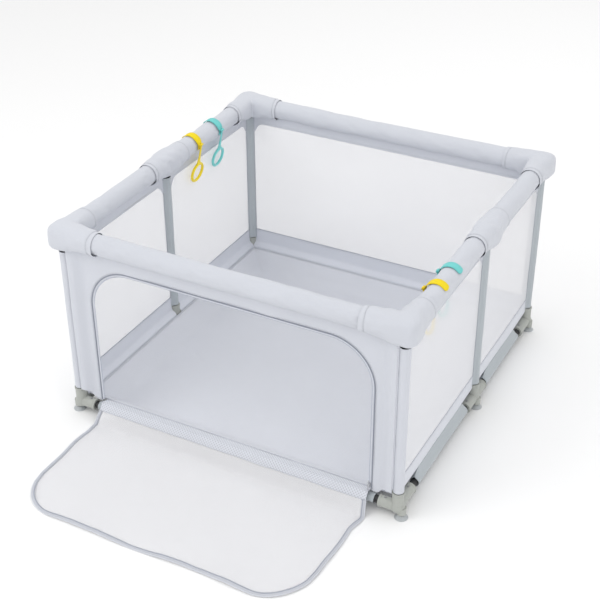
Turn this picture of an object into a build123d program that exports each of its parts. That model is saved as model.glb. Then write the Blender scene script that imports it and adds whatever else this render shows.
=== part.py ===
from build123d import *
import os

# Free-standing square play pen: push-fit steel tubes in plastic connectors, padded top rails,
# fabric and mesh walls, a padded floor, a zip-open doorway in the front wall whose fabric
# door folds down onto the floor, and pull rings that hang from straps on the side rails.
# Millimetres. The origin is the middle of the pen at floor level, +Z is up, -Y is the
# doorway side and +X is the right-hand side seen from the doorway.

# ---------------------------------------------------------------- driving dimensions
# Frame
span_x = 1190.0  # left post axis to right post axis
span_y = 1190.0  # front post axis to back post axis
mid_post_y = {"left": 0.0, "right": 45.0}  # where the middle post stands along each side
lower_rail_z = 40.0
upper_rail_z = 689.0

# Steel tubes
tube_radius = 12.5
tube_wall = 0.8

# Plastic connectors
socket_radius = 19.0
rim_radius = 20.5
rim_length = 7.0
rim_round = 1.5
hub_radius = 23.0
socket_stop = 20.0  # from where the axes cross to the blind end of each bore
corner_arm_x = 62.0
corner_arm_y = 98.0
tee_arm = 80.0
riser = 58.0  # lower connector's upward arm
upper_arm = 56.0
upper_drop = 42.0  # upper connector's downward arm

# Snap buttons that lock the lower tubes in their sockets
button_radius = 4.0
button_inset = 20.0  # from the arm's open end
button_proud = 1.2
button_flange_radius = 5.5
button_flange_height = 1.2
button_foot = 7.0  # tube axis to the underside of the button's flange

# Suction feet
foot_offset = 13.0  # cup axis outside the post axis
foot_radius = 22.0
foot_height = 13.0
foot_hollow = 5.0
foot_lip = 2.0
neck_radius = 6.0
neck_length = 15.0
boss_radius = 15.0
boss_bottom = 16.0

# Sewn sleeves on the tubes
sleeve_radius = 16.0
bare_front = 14.0  # bare tube between a corner connector and the front or back sleeve
bare_side = 28.0
bare_tee = 9.0
sleeve_above_riser = 2.0
post_sleeve_drop = 55.0  # upper rail axis to the top of each post sleeve

# Padded top rails and the fitted covers over their joints
pad_radius = 36.0
pad_end_gap = 1.0
cover_wall = 5.6
corner_cover_arm = 135.0
mid_cover_arm = 112.0

# Walls
wall_thickness = 2.0
wall_above_socket = 1.0
front_hem_z = 68.0

# Doorway, its zip and the fold-down door
door_half_width = 505.0
door_top_drop = 87.0  # upper rail axis to the top of the doorway
door_corner_radius = 150.0
door_overlap = 8.0
zip_width = 8.0
zip_bottom_z = 74.0
hinge_y_gap = 13.0  # sill fold line in front of the wall's middle plane
hinge_z = 70.0
crease_y_gap = 60.0  # fold line on the floor in front of the wall's middle plane
crease_z = 2.0
door_thickness = 2.6
door_margin = 3.0  # how far the door reaches past each side of the doorway
apron_half_width = 500.0
fold_gap = 1.6  # from a fold line to the start of each stiff piece

# Zip slider and its pull tab
slider_size = (12.0, 10.0, 16.0)
slider_slot = 2.8
slider_bottom_z = 82.0
pull_pin_radius = 0.92
pull_pin_reach = 2.6  # pin axis in front of the slider's face
pull_length = 24.0
pull_width = 5.0
pull_thickness = 1.6
pull_eye_radius = 2.0
ear_thickness = 1.5

# Padded floor
floor_thickness = 5.0
floor_flat_half = 520.0
floor_rim_z = 56.0
floor_rim_gap = 1.5

# Pull rings and the straps that carry them
ring_places = {"left_front": 175.0, "left_rear": 322.0, "right_front": -372.0, "right_rear": -262.0}
strap_width = 26.0
strap_thickness = 1.7
strap_pin_radius = 1.6
strap_pin_proud = 8.0  # pad surface to the pin that the ring swings on
strap_pin_rise = 5.0
strap_ear_thickness = 2.0
strap_tail_drop = 14.0  # rail axis to the strap's inner end
strap_end_rise = 18.0  # rail axis to the strap's outer end
stem_width = 9.4
stem_thickness = 5.0
eye_radius = 4.0
ring_drop = 117.0  # pin axis to the ring's centre
ring_lean = 12.0  # degrees that the hanging ring leans out against the wall
ring_radius = 34.5
ring_bar_radius = 5.4

# Clearances
fit_gap = 0.2  # tube in socket, per side
end_gap = 1.0  # tube end to the blind end of its bore
slip_gap = 0.3  # fabric to its neighbour
neck_gap = 0.1
pin_gap = 0.08

# ---------------------------------------------------------------- worked-out values
half_x = span_x / 2
post_sleeve_top = upper_rail_z - post_sleeve_drop
door_top_z = upper_rail_z - door_top_drop
strap_pin_reach = pad_radius + strap_pin_proud
half_y = span_y / 2
stations = {
    "front_left": (-half_x, -half_y),
    "front_right": (half_x, -half_y),
    "back_left": (-half_x, half_y),
    "back_right": (half_x, half_y),
    "mid_left": (-half_x, mid_post_y["left"]),
    "mid_right": (half_x, mid_post_y["right"]),
}
# Each span: its two end stations, and the arm length and bare tube length at each end.
side_corner = (corner_arm_y, bare_side)
side_tee = (tee_arm, bare_tee)
front_corner = (corner_arm_x, bare_front)
spans = {
    "front": ("front_left", "front_right", front_corner, front_corner),
    "back": ("back_left", "back_right", front_corner, front_corner),
    "left_front": ("front_left", "mid_left", side_corner, side_tee),
    "left_rear": ("mid_left", "back_left", side_tee, side_corner),
    "right_front": ("front_right", "mid_right", side_corner, side_tee),
    "right_rear": ("mid_right", "back_right", side_tee, side_corner),
}
bore_radius = tube_radius + fit_gap
sleeve_bore = tube_radius + slip_gap
cover_bore = pad_radius + slip_gap + strap_thickness / 10
cover_radius = cover_bore + cover_wall
strap_bore = pad_radius + slip_gap
strap_radius = strap_bore + strap_thickness
wall_top_z = upper_rail_z - strap_radius - slip_gap
wall_bottom_z = lower_rail_z + rim_radius + wall_above_socket
riser_top_z = lower_rail_z + riser
front_y = -half_y
up = Vector(0, 0, 1)
BASE = (Align.CENTER, Align.CENTER, Align.MIN)


# ---------------------------------------------------------------- shape helpers
def rod(radius, start, end):
    """Round bar from one point to another."""
    along = Vector(end) - Vector(start)
    return Plane(Vector(start), z_dir=along).location * Cylinder(radius, along.length, align=BASE)


def pipe(outer, inner, start, end):
    """Round tube from one point to another."""
    return rod(outer, start, end) - rod(inner, start, end)


def block(low, high):
    """Box between two opposite corners."""
    size = [b - a for a, b in zip(low, high)]
    middle = [(a + b) / 2 for a, b in zip(low, high)]
    return Pos(*middle) * Box(*size)


def at(station, z):
    """Point of a station at a height."""
    return Vector(*stations[station], z)


def ends(span, z):
    """Both ends of a span at a height, and the direction from the first to the second."""
    first, second = at(spans[span][0], z), at(spans[span][1], z)
    return first, second, (second - first).normalized()


def arm_list(station):
    """Directions from a station along the spans that meet there, with their arm lengths."""
    arms = []
    for name, (first, second, first_end, second_end) in spans.items():
        along = ends(name, 0)[2]
        if station == first:
            arms.append((along, first_end[0]))
        if station == second:
            arms.append((-along, second_end[0]))
    return arms


def arched(half_width, height, radius):
    """Flat outline with a straight foot and two rounded top corners, its foot on local y = 0."""
    outline = Rectangle(2 * half_width, height, align=(Align.CENTER, Align.MIN))
    return fillet(outline.vertices().sort_by(Axis.Y)[-2:], radius)


def upright(y, z):
    """Work plane that faces the front, its local y pointing up."""
    return Plane(origin=(0, y, z), x_dir=(1, 0, 0), z_dir=(0, -1, 0))


# ---------------------------------------------------------------- frame
def connector(centre, arms):
    """Hub with sockets, each with a thicker rim, along (direction, length) arms."""
    body = Pos(centre) * Sphere(hub_radius)
    for along, length in arms:
        end = centre + along * length
        rim = rod(rim_radius, end - along * rim_length, end)
        rim = fillet(rim.edges().filter_by(GeomType.CIRCLE), rim_round)
        body += rod(socket_radius, centre, end) + rim
    for along, length in arms:
        body -= rod(bore_radius, centre + along * socket_stop, centre + along * (length + rim_length))
    return body


def foot_axis(station):
    """Middle of a suction foot on the floor, outside the post."""
    x, y = stations[station]
    return Vector(x + foot_offset * (1 if x > 0 else -1), y, 0)


def button_points(station):
    """Points on the lower tubes' axes under the snap buttons of a station."""
    centre = at(station, lower_rail_z)
    return [centre + along * (length - button_inset) for along, length in arm_list(station)]


def lower_connector(station):
    """Floor connector: rail sockets, an upward socket and the boss that holds the foot."""
    centre = at(station, lower_rail_z)
    foot = foot_axis(station)
    body = connector(centre, arm_list(station) + [(up, riser)])
    body += rod(boss_radius, foot + up * boss_bottom, foot + up * lower_rail_z)
    body -= rod(neck_radius + neck_gap, foot, foot + up * (foot_height + neck_length + end_gap))
    for point in button_points(station):
        body -= rod(button_radius + slip_gap, point, point + up * 2 * socket_radius)
    bore = rod(bore_radius, centre + up * socket_stop, centre + up * (riser + rim_length))
    return body - bore


def suction_foot(station):
    """Cup that stands on its rim, hollow below, with a neck that pushes into the boss."""
    neck_top = foot_height + neck_length
    profile = Polyline(
        (foot_radius, 0),
        (foot_radius - 1, foot_lip),
        (neck_radius * 2, foot_height - foot_lip),
        (neck_radius, foot_height),
        (neck_radius, neck_top),
        (0, neck_top),
        (0, foot_hollow),
        (foot_radius - foot_lip, 0),
        close=True,
    )
    cup = revolve(Plane.XZ * make_face(profile), Axis.Z)
    return Pos(foot_axis(station)) * cup


def upper_connector(station):
    arms = [(along, upper_arm) for along, _ in arm_list(station)]
    return connector(at(station, upper_rail_z), arms + [(-up, upper_drop)])


def rail_tube(span, z):
    """Steel tube between two connectors, drilled for the snap buttons on the lower rail."""
    first, second, along = ends(span, z)
    seat = along * (socket_stop + end_gap)
    return pipe(tube_radius, tube_radius - tube_wall, first + seat, second - seat)


def lower_tube(span):
    tube = rail_tube(span, lower_rail_z)
    for station in spans[span][:2]:
        for point in button_points(station):
            tube -= rod(button_radius + slip_gap, point, point + up * socket_radius)
    return tube


def post(station):
    low = at(station, lower_rail_z + socket_stop + end_gap)
    high = at(station, upper_rail_z - socket_stop - end_gap)
    return pipe(tube_radius, tube_radius - tube_wall, low, high)


def snap_button(point):
    """Round-topped button with a flange that keeps it inside the tube."""
    foot = point + up * button_foot
    top = point + up * (socket_radius + button_proud)
    stem = rod(button_radius, foot, top)
    stem = fillet(stem.edges().sort_by(Axis.Z)[-1:], button_proud)
    return stem + rod(button_flange_radius, foot, foot + up * button_flange_height)


# ---------------------------------------------------------------- soft parts
def rail_sleeve(span):
    first, second, along = ends(span, lower_rail_z)
    first_arm, second_arm = sum(spans[span][2]), sum(spans[span][3])
    return pipe(sleeve_radius, sleeve_bore, first + along * first_arm, second - along * second_arm)


def post_sleeve(station):
    low = at(station, riser_top_z + sleeve_above_riser)
    return pipe(sleeve_radius, sleeve_bore, low, at(station, post_sleeve_top))


def rail_pad(span):
    first, second, along = ends(span, upper_rail_z)
    inset = along * (upper_arm + pad_end_gap)
    return pipe(pad_radius, tube_radius + slip_gap, first + inset, second - inset)


def cover_arm(station):
    return corner_cover_arm if abs(stations[station][1]) == half_y else mid_cover_arm


def joint_cover(station):
    """Fitted cover over a top joint, open at the rails' ends and round the post below."""
    centre = at(station, upper_rail_z)
    outside = Pos(centre) * Sphere(cover_radius)
    inside = Pos(centre) * Sphere(cover_bore)
    for along, _ in arm_list(station):
        outside += rod(cover_radius, centre, centre + along * cover_arm(station))
        inside += rod(cover_bore, centre, centre + along * (cover_arm(station) + end_gap))
    post_hole = rod(rim_radius + slip_gap, centre, centre - up * 2 * cover_radius)
    return outside - inside - post_hole


def wall(span, bottom_z):
    """Flat panel between two posts, cut clear of the lower sockets and the top covers."""
    low, high, along = ends(span, bottom_z)
    edge = along * (sleeve_radius + slip_gap)
    thick = Vector(along.Y, along.X, 0) * (wall_thickness / 2)
    first, second = low + edge, high - edge
    panel = block(tuple(first - thick), tuple(second + thick + up * (wall_top_z - bottom_z)))
    for station, way in ((spans[span][0], along), (spans[span][1], -along)):
        foot = at(station, 0)
        panel -= rod(rim_radius + slip_gap, foot, foot + up * (riser_top_z + slip_gap))
        joint = at(station, upper_rail_z)
        panel -= rod(rim_radius + slip_gap, joint, joint - up * (upper_drop + slip_gap))
        panel -= rod(cover_radius + slip_gap, joint, joint + way * (cover_arm(station) + slip_gap))
    return panel


def opening_slab(half_width, top_z, bottom_z, radius, depth):
    outline = upright(front_y, bottom_z) * arched(half_width, top_z - bottom_z, radius)
    return extrude(outline, depth / 2, both=True)


def front_panel():
    """Front wall with its arched doorway open to the sill."""
    doorway = opening_slab(door_half_width, door_top_z, 0, door_corner_radius, 4 * wall_thickness)
    return wall("front", front_hem_z) - doorway


def door_zip():
    """Zip chain round the doorway's edge, down both sides to just above the sill."""
    inset = slip_gap + zip_width
    outer = opening_slab(
        door_half_width - slip_gap,
        door_top_z - slip_gap,
        zip_bottom_z,
        door_corner_radius - slip_gap,
        wall_thickness,
    )
    inner = opening_slab(
        door_half_width - inset,
        door_top_z - inset,
        0,
        door_corner_radius - inset,
        2 * wall_thickness,
    )
    return outer - inner


def floor_pad():
    """Padded floor that lies flat and slopes up to the lower rails at its edges."""
    rim_x = half_x - rim_radius - floor_rim_gap
    rim_y = half_y - rim_radius - floor_rim_gap
    slope = (rim_x - floor_flat_half) / floor_rim_z
    side = floor_thickness * (1 + slope * slope) ** 0.5

    def layer(z, inset):
        spread = floor_flat_half + slope * z - inset
        return Pos(0, 0, z) * Rectangle(2 * spread, 2 * (spread + rim_y - rim_x))

    outside = loft([layer(0, 0), layer(floor_rim_z, 0)])
    return outside - loft([layer(floor_thickness, side), layer(floor_rim_z, side)])


# ---------------------------------------------------------------- door
hinge = Vector(0, front_y - hinge_y_gap, hinge_z)
crease = Vector(0, front_y - crease_y_gap, crease_z)
apron_length = (crease - hinge).length
flap_length = door_top_z + door_overlap - hinge_z - apron_length


def door_plane(origin, along):
    """Work plane through a fold line, its local y running along the door."""
    across = Vector(1, 0, 0)
    return Plane(origin=origin, x_dir=across, z_dir=across.cross(along))


def door_apron():
    """Strip from the sill down to the floor."""
    plane = door_plane(hinge, (crease - hinge).normalized())
    strip = Pos(0, apron_length / 2) * Rectangle(2 * apron_half_width, apron_length - 2 * fold_gap)
    return extrude(plane * strip, door_thickness / 2, both=True)


def door_flap():
    """Door panel lying on the floor, its far corners rounded as the doorway's are."""
    plane = door_plane(crease, Vector(0, -1, 0))
    sheet = arched(
        door_half_width + door_margin, flap_length - fold_gap, door_corner_radius + door_margin
    )
    return extrude(plane * (Pos(0, fold_gap) * sheet), door_thickness / 2, both=True)


# ---------------------------------------------------------------- zip slider
slider_x = door_half_width - slip_gap - zip_width  # free edge of the zip chain
slider_face_y = front_y - slider_size[1] / 2
pull_pin = Vector(
    slider_x,
    slider_face_y - pull_pin_reach,
    slider_bottom_z + slider_size[2] - pull_eye_radius - ear_thickness,
)


def zip_slider():
    """Slider that straddles the zip chain, with two ears and a pin for its pull tab."""
    wide, deep, tall = slider_size
    left = slider_x - wide / 2
    body = block((left, front_y - deep / 2, slider_bottom_z),
                 (left + wide, front_y + deep / 2, slider_bottom_z + tall))
    body = fillet(body.edges().filter_by(Axis.Z), deep / 5)
    body -= block((slider_x - slip_gap - zip_width / 4, front_y - slider_slot / 2, 0),
                  (slider_x + wide, front_y + slider_slot / 2, riser_top_z + tall))
    reach = pull_width / 2 + slip_gap
    for side in (-1, 1):
        inner, outer = side * reach, side * (reach + ear_thickness)
        body += block(
            (slider_x + min(inner, outer), pull_pin.Y - ear_thickness, pull_pin.Z - ear_thickness),
            (slider_x + max(inner, outer), slider_face_y, pull_pin.Z + ear_thickness),
        )
    half = Vector(reach + ear_thickness, 0, 0)
    return body + rod(pull_pin_radius, pull_pin - half, pull_pin + half)


def zip_pull():
    """Tab that hangs from the slider's pin."""
    half = Vector(pull_width / 2, 0, 0)
    blade = block(
        (slider_x - pull_width / 2, pull_pin.Y - pull_thickness / 2, pull_pin.Z - pull_length),
        (slider_x + pull_width / 2, pull_pin.Y + pull_thickness / 2, pull_pin.Z),
    )
    blade = fillet(blade.edges().filter_by(Axis.Y).sort_by(Axis.Z)[:2], pull_width / 2 - slip_gap)
    tab = blade + rod(pull_eye_radius, pull_pin - half, pull_pin + half)
    return tab - rod(pull_pin_radius + pin_gap, pull_pin - half * 2, pull_pin + half * 2)


# ---------------------------------------------------------------- pull rings
def strap_frame(place):
    """Rail axis point under a strap, and the direction from it into the pen."""
    side = -1 if place.startswith("left") else 1
    return Vector(side * half_x, ring_places[place], upper_rail_z), Vector(-side, 0, 0)


def ring_pin(place):
    axis, inward = strap_frame(place)
    return axis + inward * strap_pin_reach + up * strap_pin_rise


def ring_strap(place):
    """Webbing strip over the padded rail, with two ears and a pin for the ring inside."""
    axis, inward = strap_frame(place)
    pin = ring_pin(place)
    half = Vector(0, strap_width / 2, 0)
    loop = rod(strap_radius, axis - half, axis + half)
    reach = stem_width / 2 + slip_gap
    for side in (-1, 1):
        near = pin + inward * (strap_pin_radius + 1) + Vector(0, side * reach, strap_pin_radius + 1)
        far = axis + Vector(0, side * (reach + strap_ear_thickness), strap_pin_rise)
        far = far - up * (strap_pin_radius + 1)
        low = [min(a, b) for a, b in zip(near, far)]
        high = [max(a, b) for a, b in zip(near, far)]
        loop += block(low, high)
    loop -= rod(strap_bore, axis - half * 2, axis + half * 2)
    beyond = strap_radius + slip_gap
    loop -= block(
        (axis.X - beyond, axis.Y - strap_width, axis.Z - beyond),
        (axis.X + beyond, axis.Y + strap_width, axis.Z - strap_tail_drop),
    )
    outside = axis - inward * beyond
    loop -= block(
        (min(axis.X, outside.X), axis.Y - strap_width, axis.Z - beyond),
        (max(axis.X, outside.X), axis.Y + strap_width, axis.Z + strap_end_rise),
    )
    across = Vector(0, reach + strap_ear_thickness, 0)
    return loop + rod(strap_pin_radius, pin - across, pin + across)


def pull_ring(place):
    """Moulded ring on a stem that swings on the strap's pin."""
    pin = ring_pin(place)
    centre = pin - up * ring_drop
    half = Vector(0, stem_width / 2, 0)
    facing = Plane(origin=centre, z_dir=(1, 0, 0)).location
    body = facing * Torus(ring_radius, ring_bar_radius)
    thick = Vector(stem_thickness / 2, 0, 0)
    stem_foot = centre + up * ring_radius
    body += block(tuple(stem_foot - half - thick), tuple(pin + half + thick))
    body += rod(eye_radius, pin - half, pin + half)
    body -= rod(strap_pin_radius + pin_gap, pin - half * 2, pin + half * 2)
    lean = Rot(0, ring_lean if place.startswith("left") else -ring_lean, 0)
    return Pos(pin) * lean * Pos(-pin) * body


# ---------------------------------------------------------------- all nodes
nodes = {}
for name in stations:
    kind = "lower_tee" if name.startswith("mid") else "lower_corner"
    where = name.replace("mid_", "")
    nodes[f"{kind}_{where}"] = lower_connector(name)
    nodes[f"post_{name}"] = post(name)
    cover = "mid_cover" if name.startswith("mid") else "corner_cover"
    nodes[f"{cover}_{where}"] = joint_cover(name)
for name in spans:
    nodes[f"lower_tube_{name}"] = lower_tube(name)
    nodes[f"rail_pad_{name}"] = rail_pad(name)
    if name != "front":
        nodes[f"mesh_wall_{name}"] = wall(name, wall_bottom_z)
nodes["front_panel"] = front_panel()
nodes["door_zip"] = door_zip()
nodes["door_apron"] = door_apron()
nodes["door_flap"] = door_flap()
nodes["zip_slider"] = zip_slider()
nodes["zip_pull"] = zip_pull()
nodes["floor_pad"] = floor_pad()
nodes["suction_feet"] = Compound([suction_foot(name) for name in stations])
nodes["upper_corners"] = Compound([upper_connector(n) for n in stations if "mid" not in n])
nodes["upper_tees"] = Compound([upper_connector(n) for n in stations if "mid" in n])
nodes["upper_tubes"] = Compound([rail_tube(name, upper_rail_z) for name in spans])
nodes["post_sleeves"] = Compound([post_sleeve(name) for name in stations])
nodes["rail_sleeves"] = Compound([rail_sleeve(name) for name in spans])
nodes["snap_buttons"] = Compound(
    [snap_button(point) for name in stations for point in button_points(name)]
)
for name in ring_places:
    nodes[f"ring_strap_{name}"] = ring_strap(name)
    nodes[f"pull_ring_{name}"] = pull_ring(name)

os.makedirs("parts", exist_ok=True)
for name, shape in nodes.items():
    export_step(shape, f"parts/{name}.step")
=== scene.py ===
import math

import bmesh
import bpy
import numpy as np
from bpy.props import FloatProperty, FloatVectorProperty, IntProperty, PointerProperty
from mathutils import Matrix, Vector


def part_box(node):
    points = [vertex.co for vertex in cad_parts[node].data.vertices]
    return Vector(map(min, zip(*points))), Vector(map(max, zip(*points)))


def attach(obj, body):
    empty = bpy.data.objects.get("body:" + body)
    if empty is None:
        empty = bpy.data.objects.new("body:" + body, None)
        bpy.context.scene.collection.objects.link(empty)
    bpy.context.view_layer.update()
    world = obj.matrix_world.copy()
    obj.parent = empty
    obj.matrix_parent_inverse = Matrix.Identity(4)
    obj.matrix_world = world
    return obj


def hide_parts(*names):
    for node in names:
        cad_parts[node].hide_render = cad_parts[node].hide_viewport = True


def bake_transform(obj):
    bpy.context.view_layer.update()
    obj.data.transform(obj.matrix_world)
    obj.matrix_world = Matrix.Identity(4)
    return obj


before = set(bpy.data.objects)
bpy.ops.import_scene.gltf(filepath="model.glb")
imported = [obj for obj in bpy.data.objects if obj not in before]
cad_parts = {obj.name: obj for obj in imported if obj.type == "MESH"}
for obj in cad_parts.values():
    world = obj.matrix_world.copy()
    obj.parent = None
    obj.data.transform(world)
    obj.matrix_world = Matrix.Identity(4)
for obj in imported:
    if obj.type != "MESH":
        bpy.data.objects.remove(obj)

bl_info = {
    "name": "Square Play Pen",
    "version": (1, 0, 0),
    "blender": (4, 5, 0),
    "location": "3D View > Sidebar > Play Pen",
    "description": "Sews the soft parts of a square play pen round its tube frame",
    "category": "Add Mesh",
}

UP = np.array((0.0, 0.0, 1.0))
FULL_TURN = 2 * math.pi
CORNERS = ("front_left", "front_right", "back_left", "back_right")
SPANS = ("front", "back", "left_front", "left_rear", "right_front", "right_rear")
STATIONS = CORNERS + ("mid_left", "mid_right")


def limits(node):
    """Lowest and highest corner of a CAD node as arrays."""
    low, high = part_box(node)
    return np.array(low), np.array(high)


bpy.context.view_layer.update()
RAIL_Z = float(np.mean([limits("rail_pad_front")[0][2], limits("rail_pad_front")[1][2]]))
LOWER_Z = float(np.mean([limits("lower_tube_front")[0][2], limits("lower_tube_front")[1][2]]))
HALF_X = float(np.mean([limits("post_front_right")[0][0], limits("post_front_right")[1][0]]))
HALF_Y = float(np.mean([limits("post_back_right")[0][1], limits("post_back_right")[1][1]]))
MID_Y = {side: float(np.mean([limits(f"post_mid_{side}")[0][1], limits(f"post_mid_{side}")[1][1]]))
         for side in ("left", "right")}
POST_AT = {
    "front_left": (-HALF_X, -HALF_Y),
    "front_right": (HALF_X, -HALF_Y),
    "back_left": (-HALF_X, HALF_Y),
    "back_right": (HALF_X, HALF_Y),
    "mid_left": (-HALF_X, MID_Y["left"]),
    "mid_right": (HALF_X, MID_Y["right"]),
}
SPAN_ENDS = {
    "front": ("front_left", "front_right"),
    "back": ("back_left", "back_right"),
    "left_front": ("front_left", "mid_left"),
    "left_rear": ("mid_left", "back_left"),
    "right_front": ("front_right", "mid_right"),
    "right_rear": ("mid_right", "back_right"),
}
PAD_RADIUS = float(limits("rail_pad_front")[1][2] - RAIL_Z)
SILL = limits("door_apron")
FLAP = limits("door_flap")
DOORWAY_HALF = float(limits("door_zip")[1][0])
DOORWAY_TOP = float(limits("door_zip")[1][2])
DOORWAY_ROUND = 0.150
ZIP_FOOT = float(limits("door_zip")[0][2])
HINGE_OUT, HINGE_Z = 0.013, 0.070
CREASE_OUT, CREASE_Z = 0.060, 0.002
HINGE = np.array((0.0, -HALF_Y - HINGE_OUT, HINGE_Z))
CREASE = np.array((0.0, -HALF_Y - CREASE_OUT, CREASE_Z))
CONNECTOR_ARM = {"corner_side": 0.098, "corner_front": 0.062, "tee": 0.080}
FRONT_SLEEVE_RADIUS = 0.0172
SLEEVE_RADIUS = 0.0160
BARE_TUBE = {"corner_side": 0.028, "corner_front": 0.014, "tee": 0.009}
PAD_SLACK = 0.004  # share by which the pad's cloth is longer than the foam
COVER_SWELL = 0.0025
COVER_SLACK = 0.008
COVER_PRESSURE = 3.0
HEM_ROWS = (7, 8, -8, -9)  # rows of a cover's grid that carry its hem stitches
PIN_INSIDE = 0.044  # from the padded rail's axis to the ring's pin
PIN_ABOVE = 0.005


# ---------------------------------------------------------------- sizes and colours
class PlayPenCloth(bpy.types.PropertyGroup):
    """Colours and drape of the sewn parts."""

    cloth_colour: FloatVectorProperty(
        name="Cloth", description="Pale grey of the pads, covers and panels",
        default=(0.655, 0.675, 0.730), subtype="COLOR", min=0, max=1)
    # Painted light: the floor's grey is partly the cloth's own and partly lifted to stand in for light the
    # floor does not get from the lamps.
    floor_colour_with_painted_light: FloatVectorProperty(
        name="Floor cloth with painted light", description="Grey of the padded floor",
        default=(0.715, 0.732, 0.785), subtype="COLOR", min=0, max=1)
    edging_colour: FloatVectorProperty(
        name="Edging", description="Darker grey of hems, piping and the zip coil",
        default=(0.300, 0.325, 0.390), subtype="COLOR", min=0, max=1)
    net_colour: FloatVectorProperty(
        name="Net thread", description="Near white of the net",
        default=(0.910, 0.910, 0.930), subtype="COLOR", min=0, max=1)
    net_cover: FloatProperty(
        name="Net cover", description="Share of the net's area that is thread",
        default=0.45, subtype="FACTOR", min=0.1, max=1)
    pad_swell: FloatProperty(
        name="Pad swell", description="How far the foam pushes the cloth out",
        default=0.0025, unit="LENGTH", min=0, max=0.01)
    pad_wrinkle: FloatProperty(
        name="Pad wrinkle", description="Height of the lengthwise folds in the pad cloth",
        default=0.0011, unit="LENGTH", min=0, max=0.005)
    net_slack: FloatProperty(
        name="Net slack", description="How far the net bellies out of its plane",
        default=0.0035, unit="LENGTH", min=0, max=0.02)


class PlayPenDoor(bpy.types.PropertyGroup):
    """Sizes of the zip door and its edging."""

    tape_width: FloatProperty(
        name="Zip tape", description="Width of the woven tape that carries the zip coil",
        default=0.0095, unit="LENGTH", min=0.004, max=0.03)
    coil_pitch: FloatProperty(
        name="Coil pitch", description="Distance from one turn of the zip coil to the next",
        default=0.0026, unit="LENGTH", min=0.001, max=0.006)
    binding_width: FloatProperty(
        name="Binding", description="Width of the tape that binds the door's edge",
        default=0.012, unit="LENGTH", min=0.004, max=0.03)
    ripple: FloatProperty(
        name="Ripple", description="How far the door's free edge lifts off the floor",
        default=0.0055, unit="LENGTH", min=0, max=0.02)


class PlayPenRings(bpy.types.PropertyGroup):
    """Pull rings and their webbing straps."""

    front_colour: FloatVectorProperty(
        name="Front pair", description="Colour of the two front straps and rings",
        default=(0.960, 0.740, 0.005), subtype="COLOR", min=0, max=1)
    rear_colour: FloatVectorProperty(
        name="Rear pair", description="Colour of the two rear straps and rings",
        default=(0.190, 0.680, 0.660), subtype="COLOR", min=0, max=1)
    strap_top: FloatProperty(
        name="Strap width on top", description="Width of the webbing over the padded rail",
        default=0.031, unit="LENGTH", min=0.01, max=0.08)
    strap_inside: FloatProperty(
        name="Strap width inside", description="Width of the webbing where the ring hangs",
        default=0.022, unit="LENGTH", min=0.01, max=0.08)


class PlayPenLook(bpy.types.PropertyGroup):
    """Stage and mesh detail."""

    facets: IntProperty(
        name="Facets", description="Facets round each pad and cover before subdivision",
        default=32, min=12, max=64)
    sky: FloatProperty(
        name="Sky light", description="Strength of the even light from all round",
        default=0.80, min=0, max=5)


# ---------------------------------------------------------------- mesh helpers
def smooth(x):
    """Zero below 0, one above 1, and an S curve between."""
    x = np.clip(x, 0.0, 1.0)
    return x * x * (3 - 2 * x)


def ripple(points, seed, lengths, waves=12):
    """Sum of seeded sine waves through space, about -1 to 1; lengths are the shortest waves in x, y, z."""
    rng = np.random.default_rng(seed)
    ways = rng.uniform(-1, 1, (waves, 3)) / np.array(lengths)
    phases = rng.uniform(0, FULL_TURN, waves)
    total = np.sin(FULL_TURN * points @ ways.T + phases).sum(-1)
    return total / math.sqrt(2.0 * waves)


def turned(directions):
    """Unit vectors of an array of directions."""
    return directions / np.maximum(np.linalg.norm(directions, axis=-1, keepdims=True), 1e-12)


def surface(points, wrap=(False, False), uv=None, caps=False, facing=None):
    """Quads over an (n, m) grid of points, closed along either way that wraps.

    uv holds two arrays, the lengths along the rows and the columns in metres. caps fills
    both open ends of a tube. facing is the side an open sheet shows; a closed one is
    turned so that its volume is positive.
    """
    n, m = points.shape[:2]
    down, over = (n if wrap[0] else n - 1), (m if wrap[1] else m - 1)
    i, j = np.meshgrid(np.arange(down), np.arange(over), indexing="ij")
    i2, j2 = (i + 1) % n, (j + 1) % m
    quads = np.stack([i * m + j, i * m + j2, i2 * m + j2, i2 * m + j], -1).reshape(-1, 4)
    if uv is None:
        uv = (np.arange(down + 1) * 0.005, np.arange(over + 1) * 0.005)
    u, v = np.broadcast_arrays(np.atleast_2d(uv[0]).T if np.ndim(uv[0]) == 1 else uv[0],
                               np.atleast_2d(uv[1]) if np.ndim(uv[1]) == 1 else uv[1])
    flat = np.stack([u, v], -1)
    loops = np.stack([flat[i, j], flat[i, j + 1], flat[i + 1, j + 1], flat[i + 1, j]], 2)
    loops = loops.reshape(-1, 4, 2)
    corners = points.reshape(-1, 3)
    rims = np.zeros((0, 3), int)
    rim_loops = np.zeros((0, 3, 2))
    if caps:
        ring = np.arange(m)
        after = (ring + 1) % m
        centres = np.stack([points[0].mean(0), points[-1].mean(0)])
        first, last = len(corners), len(corners) + 1
        corners = np.concatenate([corners, centres])
        rims = np.concatenate([
            np.stack([np.full(m, first), after, ring], -1),
            np.stack([np.full(m, last), (n - 1) * m + ring, (n - 1) * m + after], -1),
        ])
        rim_loops = np.zeros((len(rims), 3, 2))
    a, b, c, d = (corners[quads[:, k]] for k in range(4))
    if facing is None:
        volume = (a * np.cross(b, c)).sum() + (a * np.cross(c, d)).sum()
        e, f, g = (corners[rims[:, k]] for k in range(3))
        flip = volume + (e * np.cross(f, g)).sum() < 0
    else:
        flip = (np.cross(c - a, d - b).sum(0) * np.asarray(facing)).sum() < 0
    if flip:
        quads, loops = quads[:, ::-1], loops[:, ::-1]
        rims, rim_loops = rims[:, ::-1], rim_loops[:, ::-1]
    return corners, quads, loops, rims, rim_loops


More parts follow.
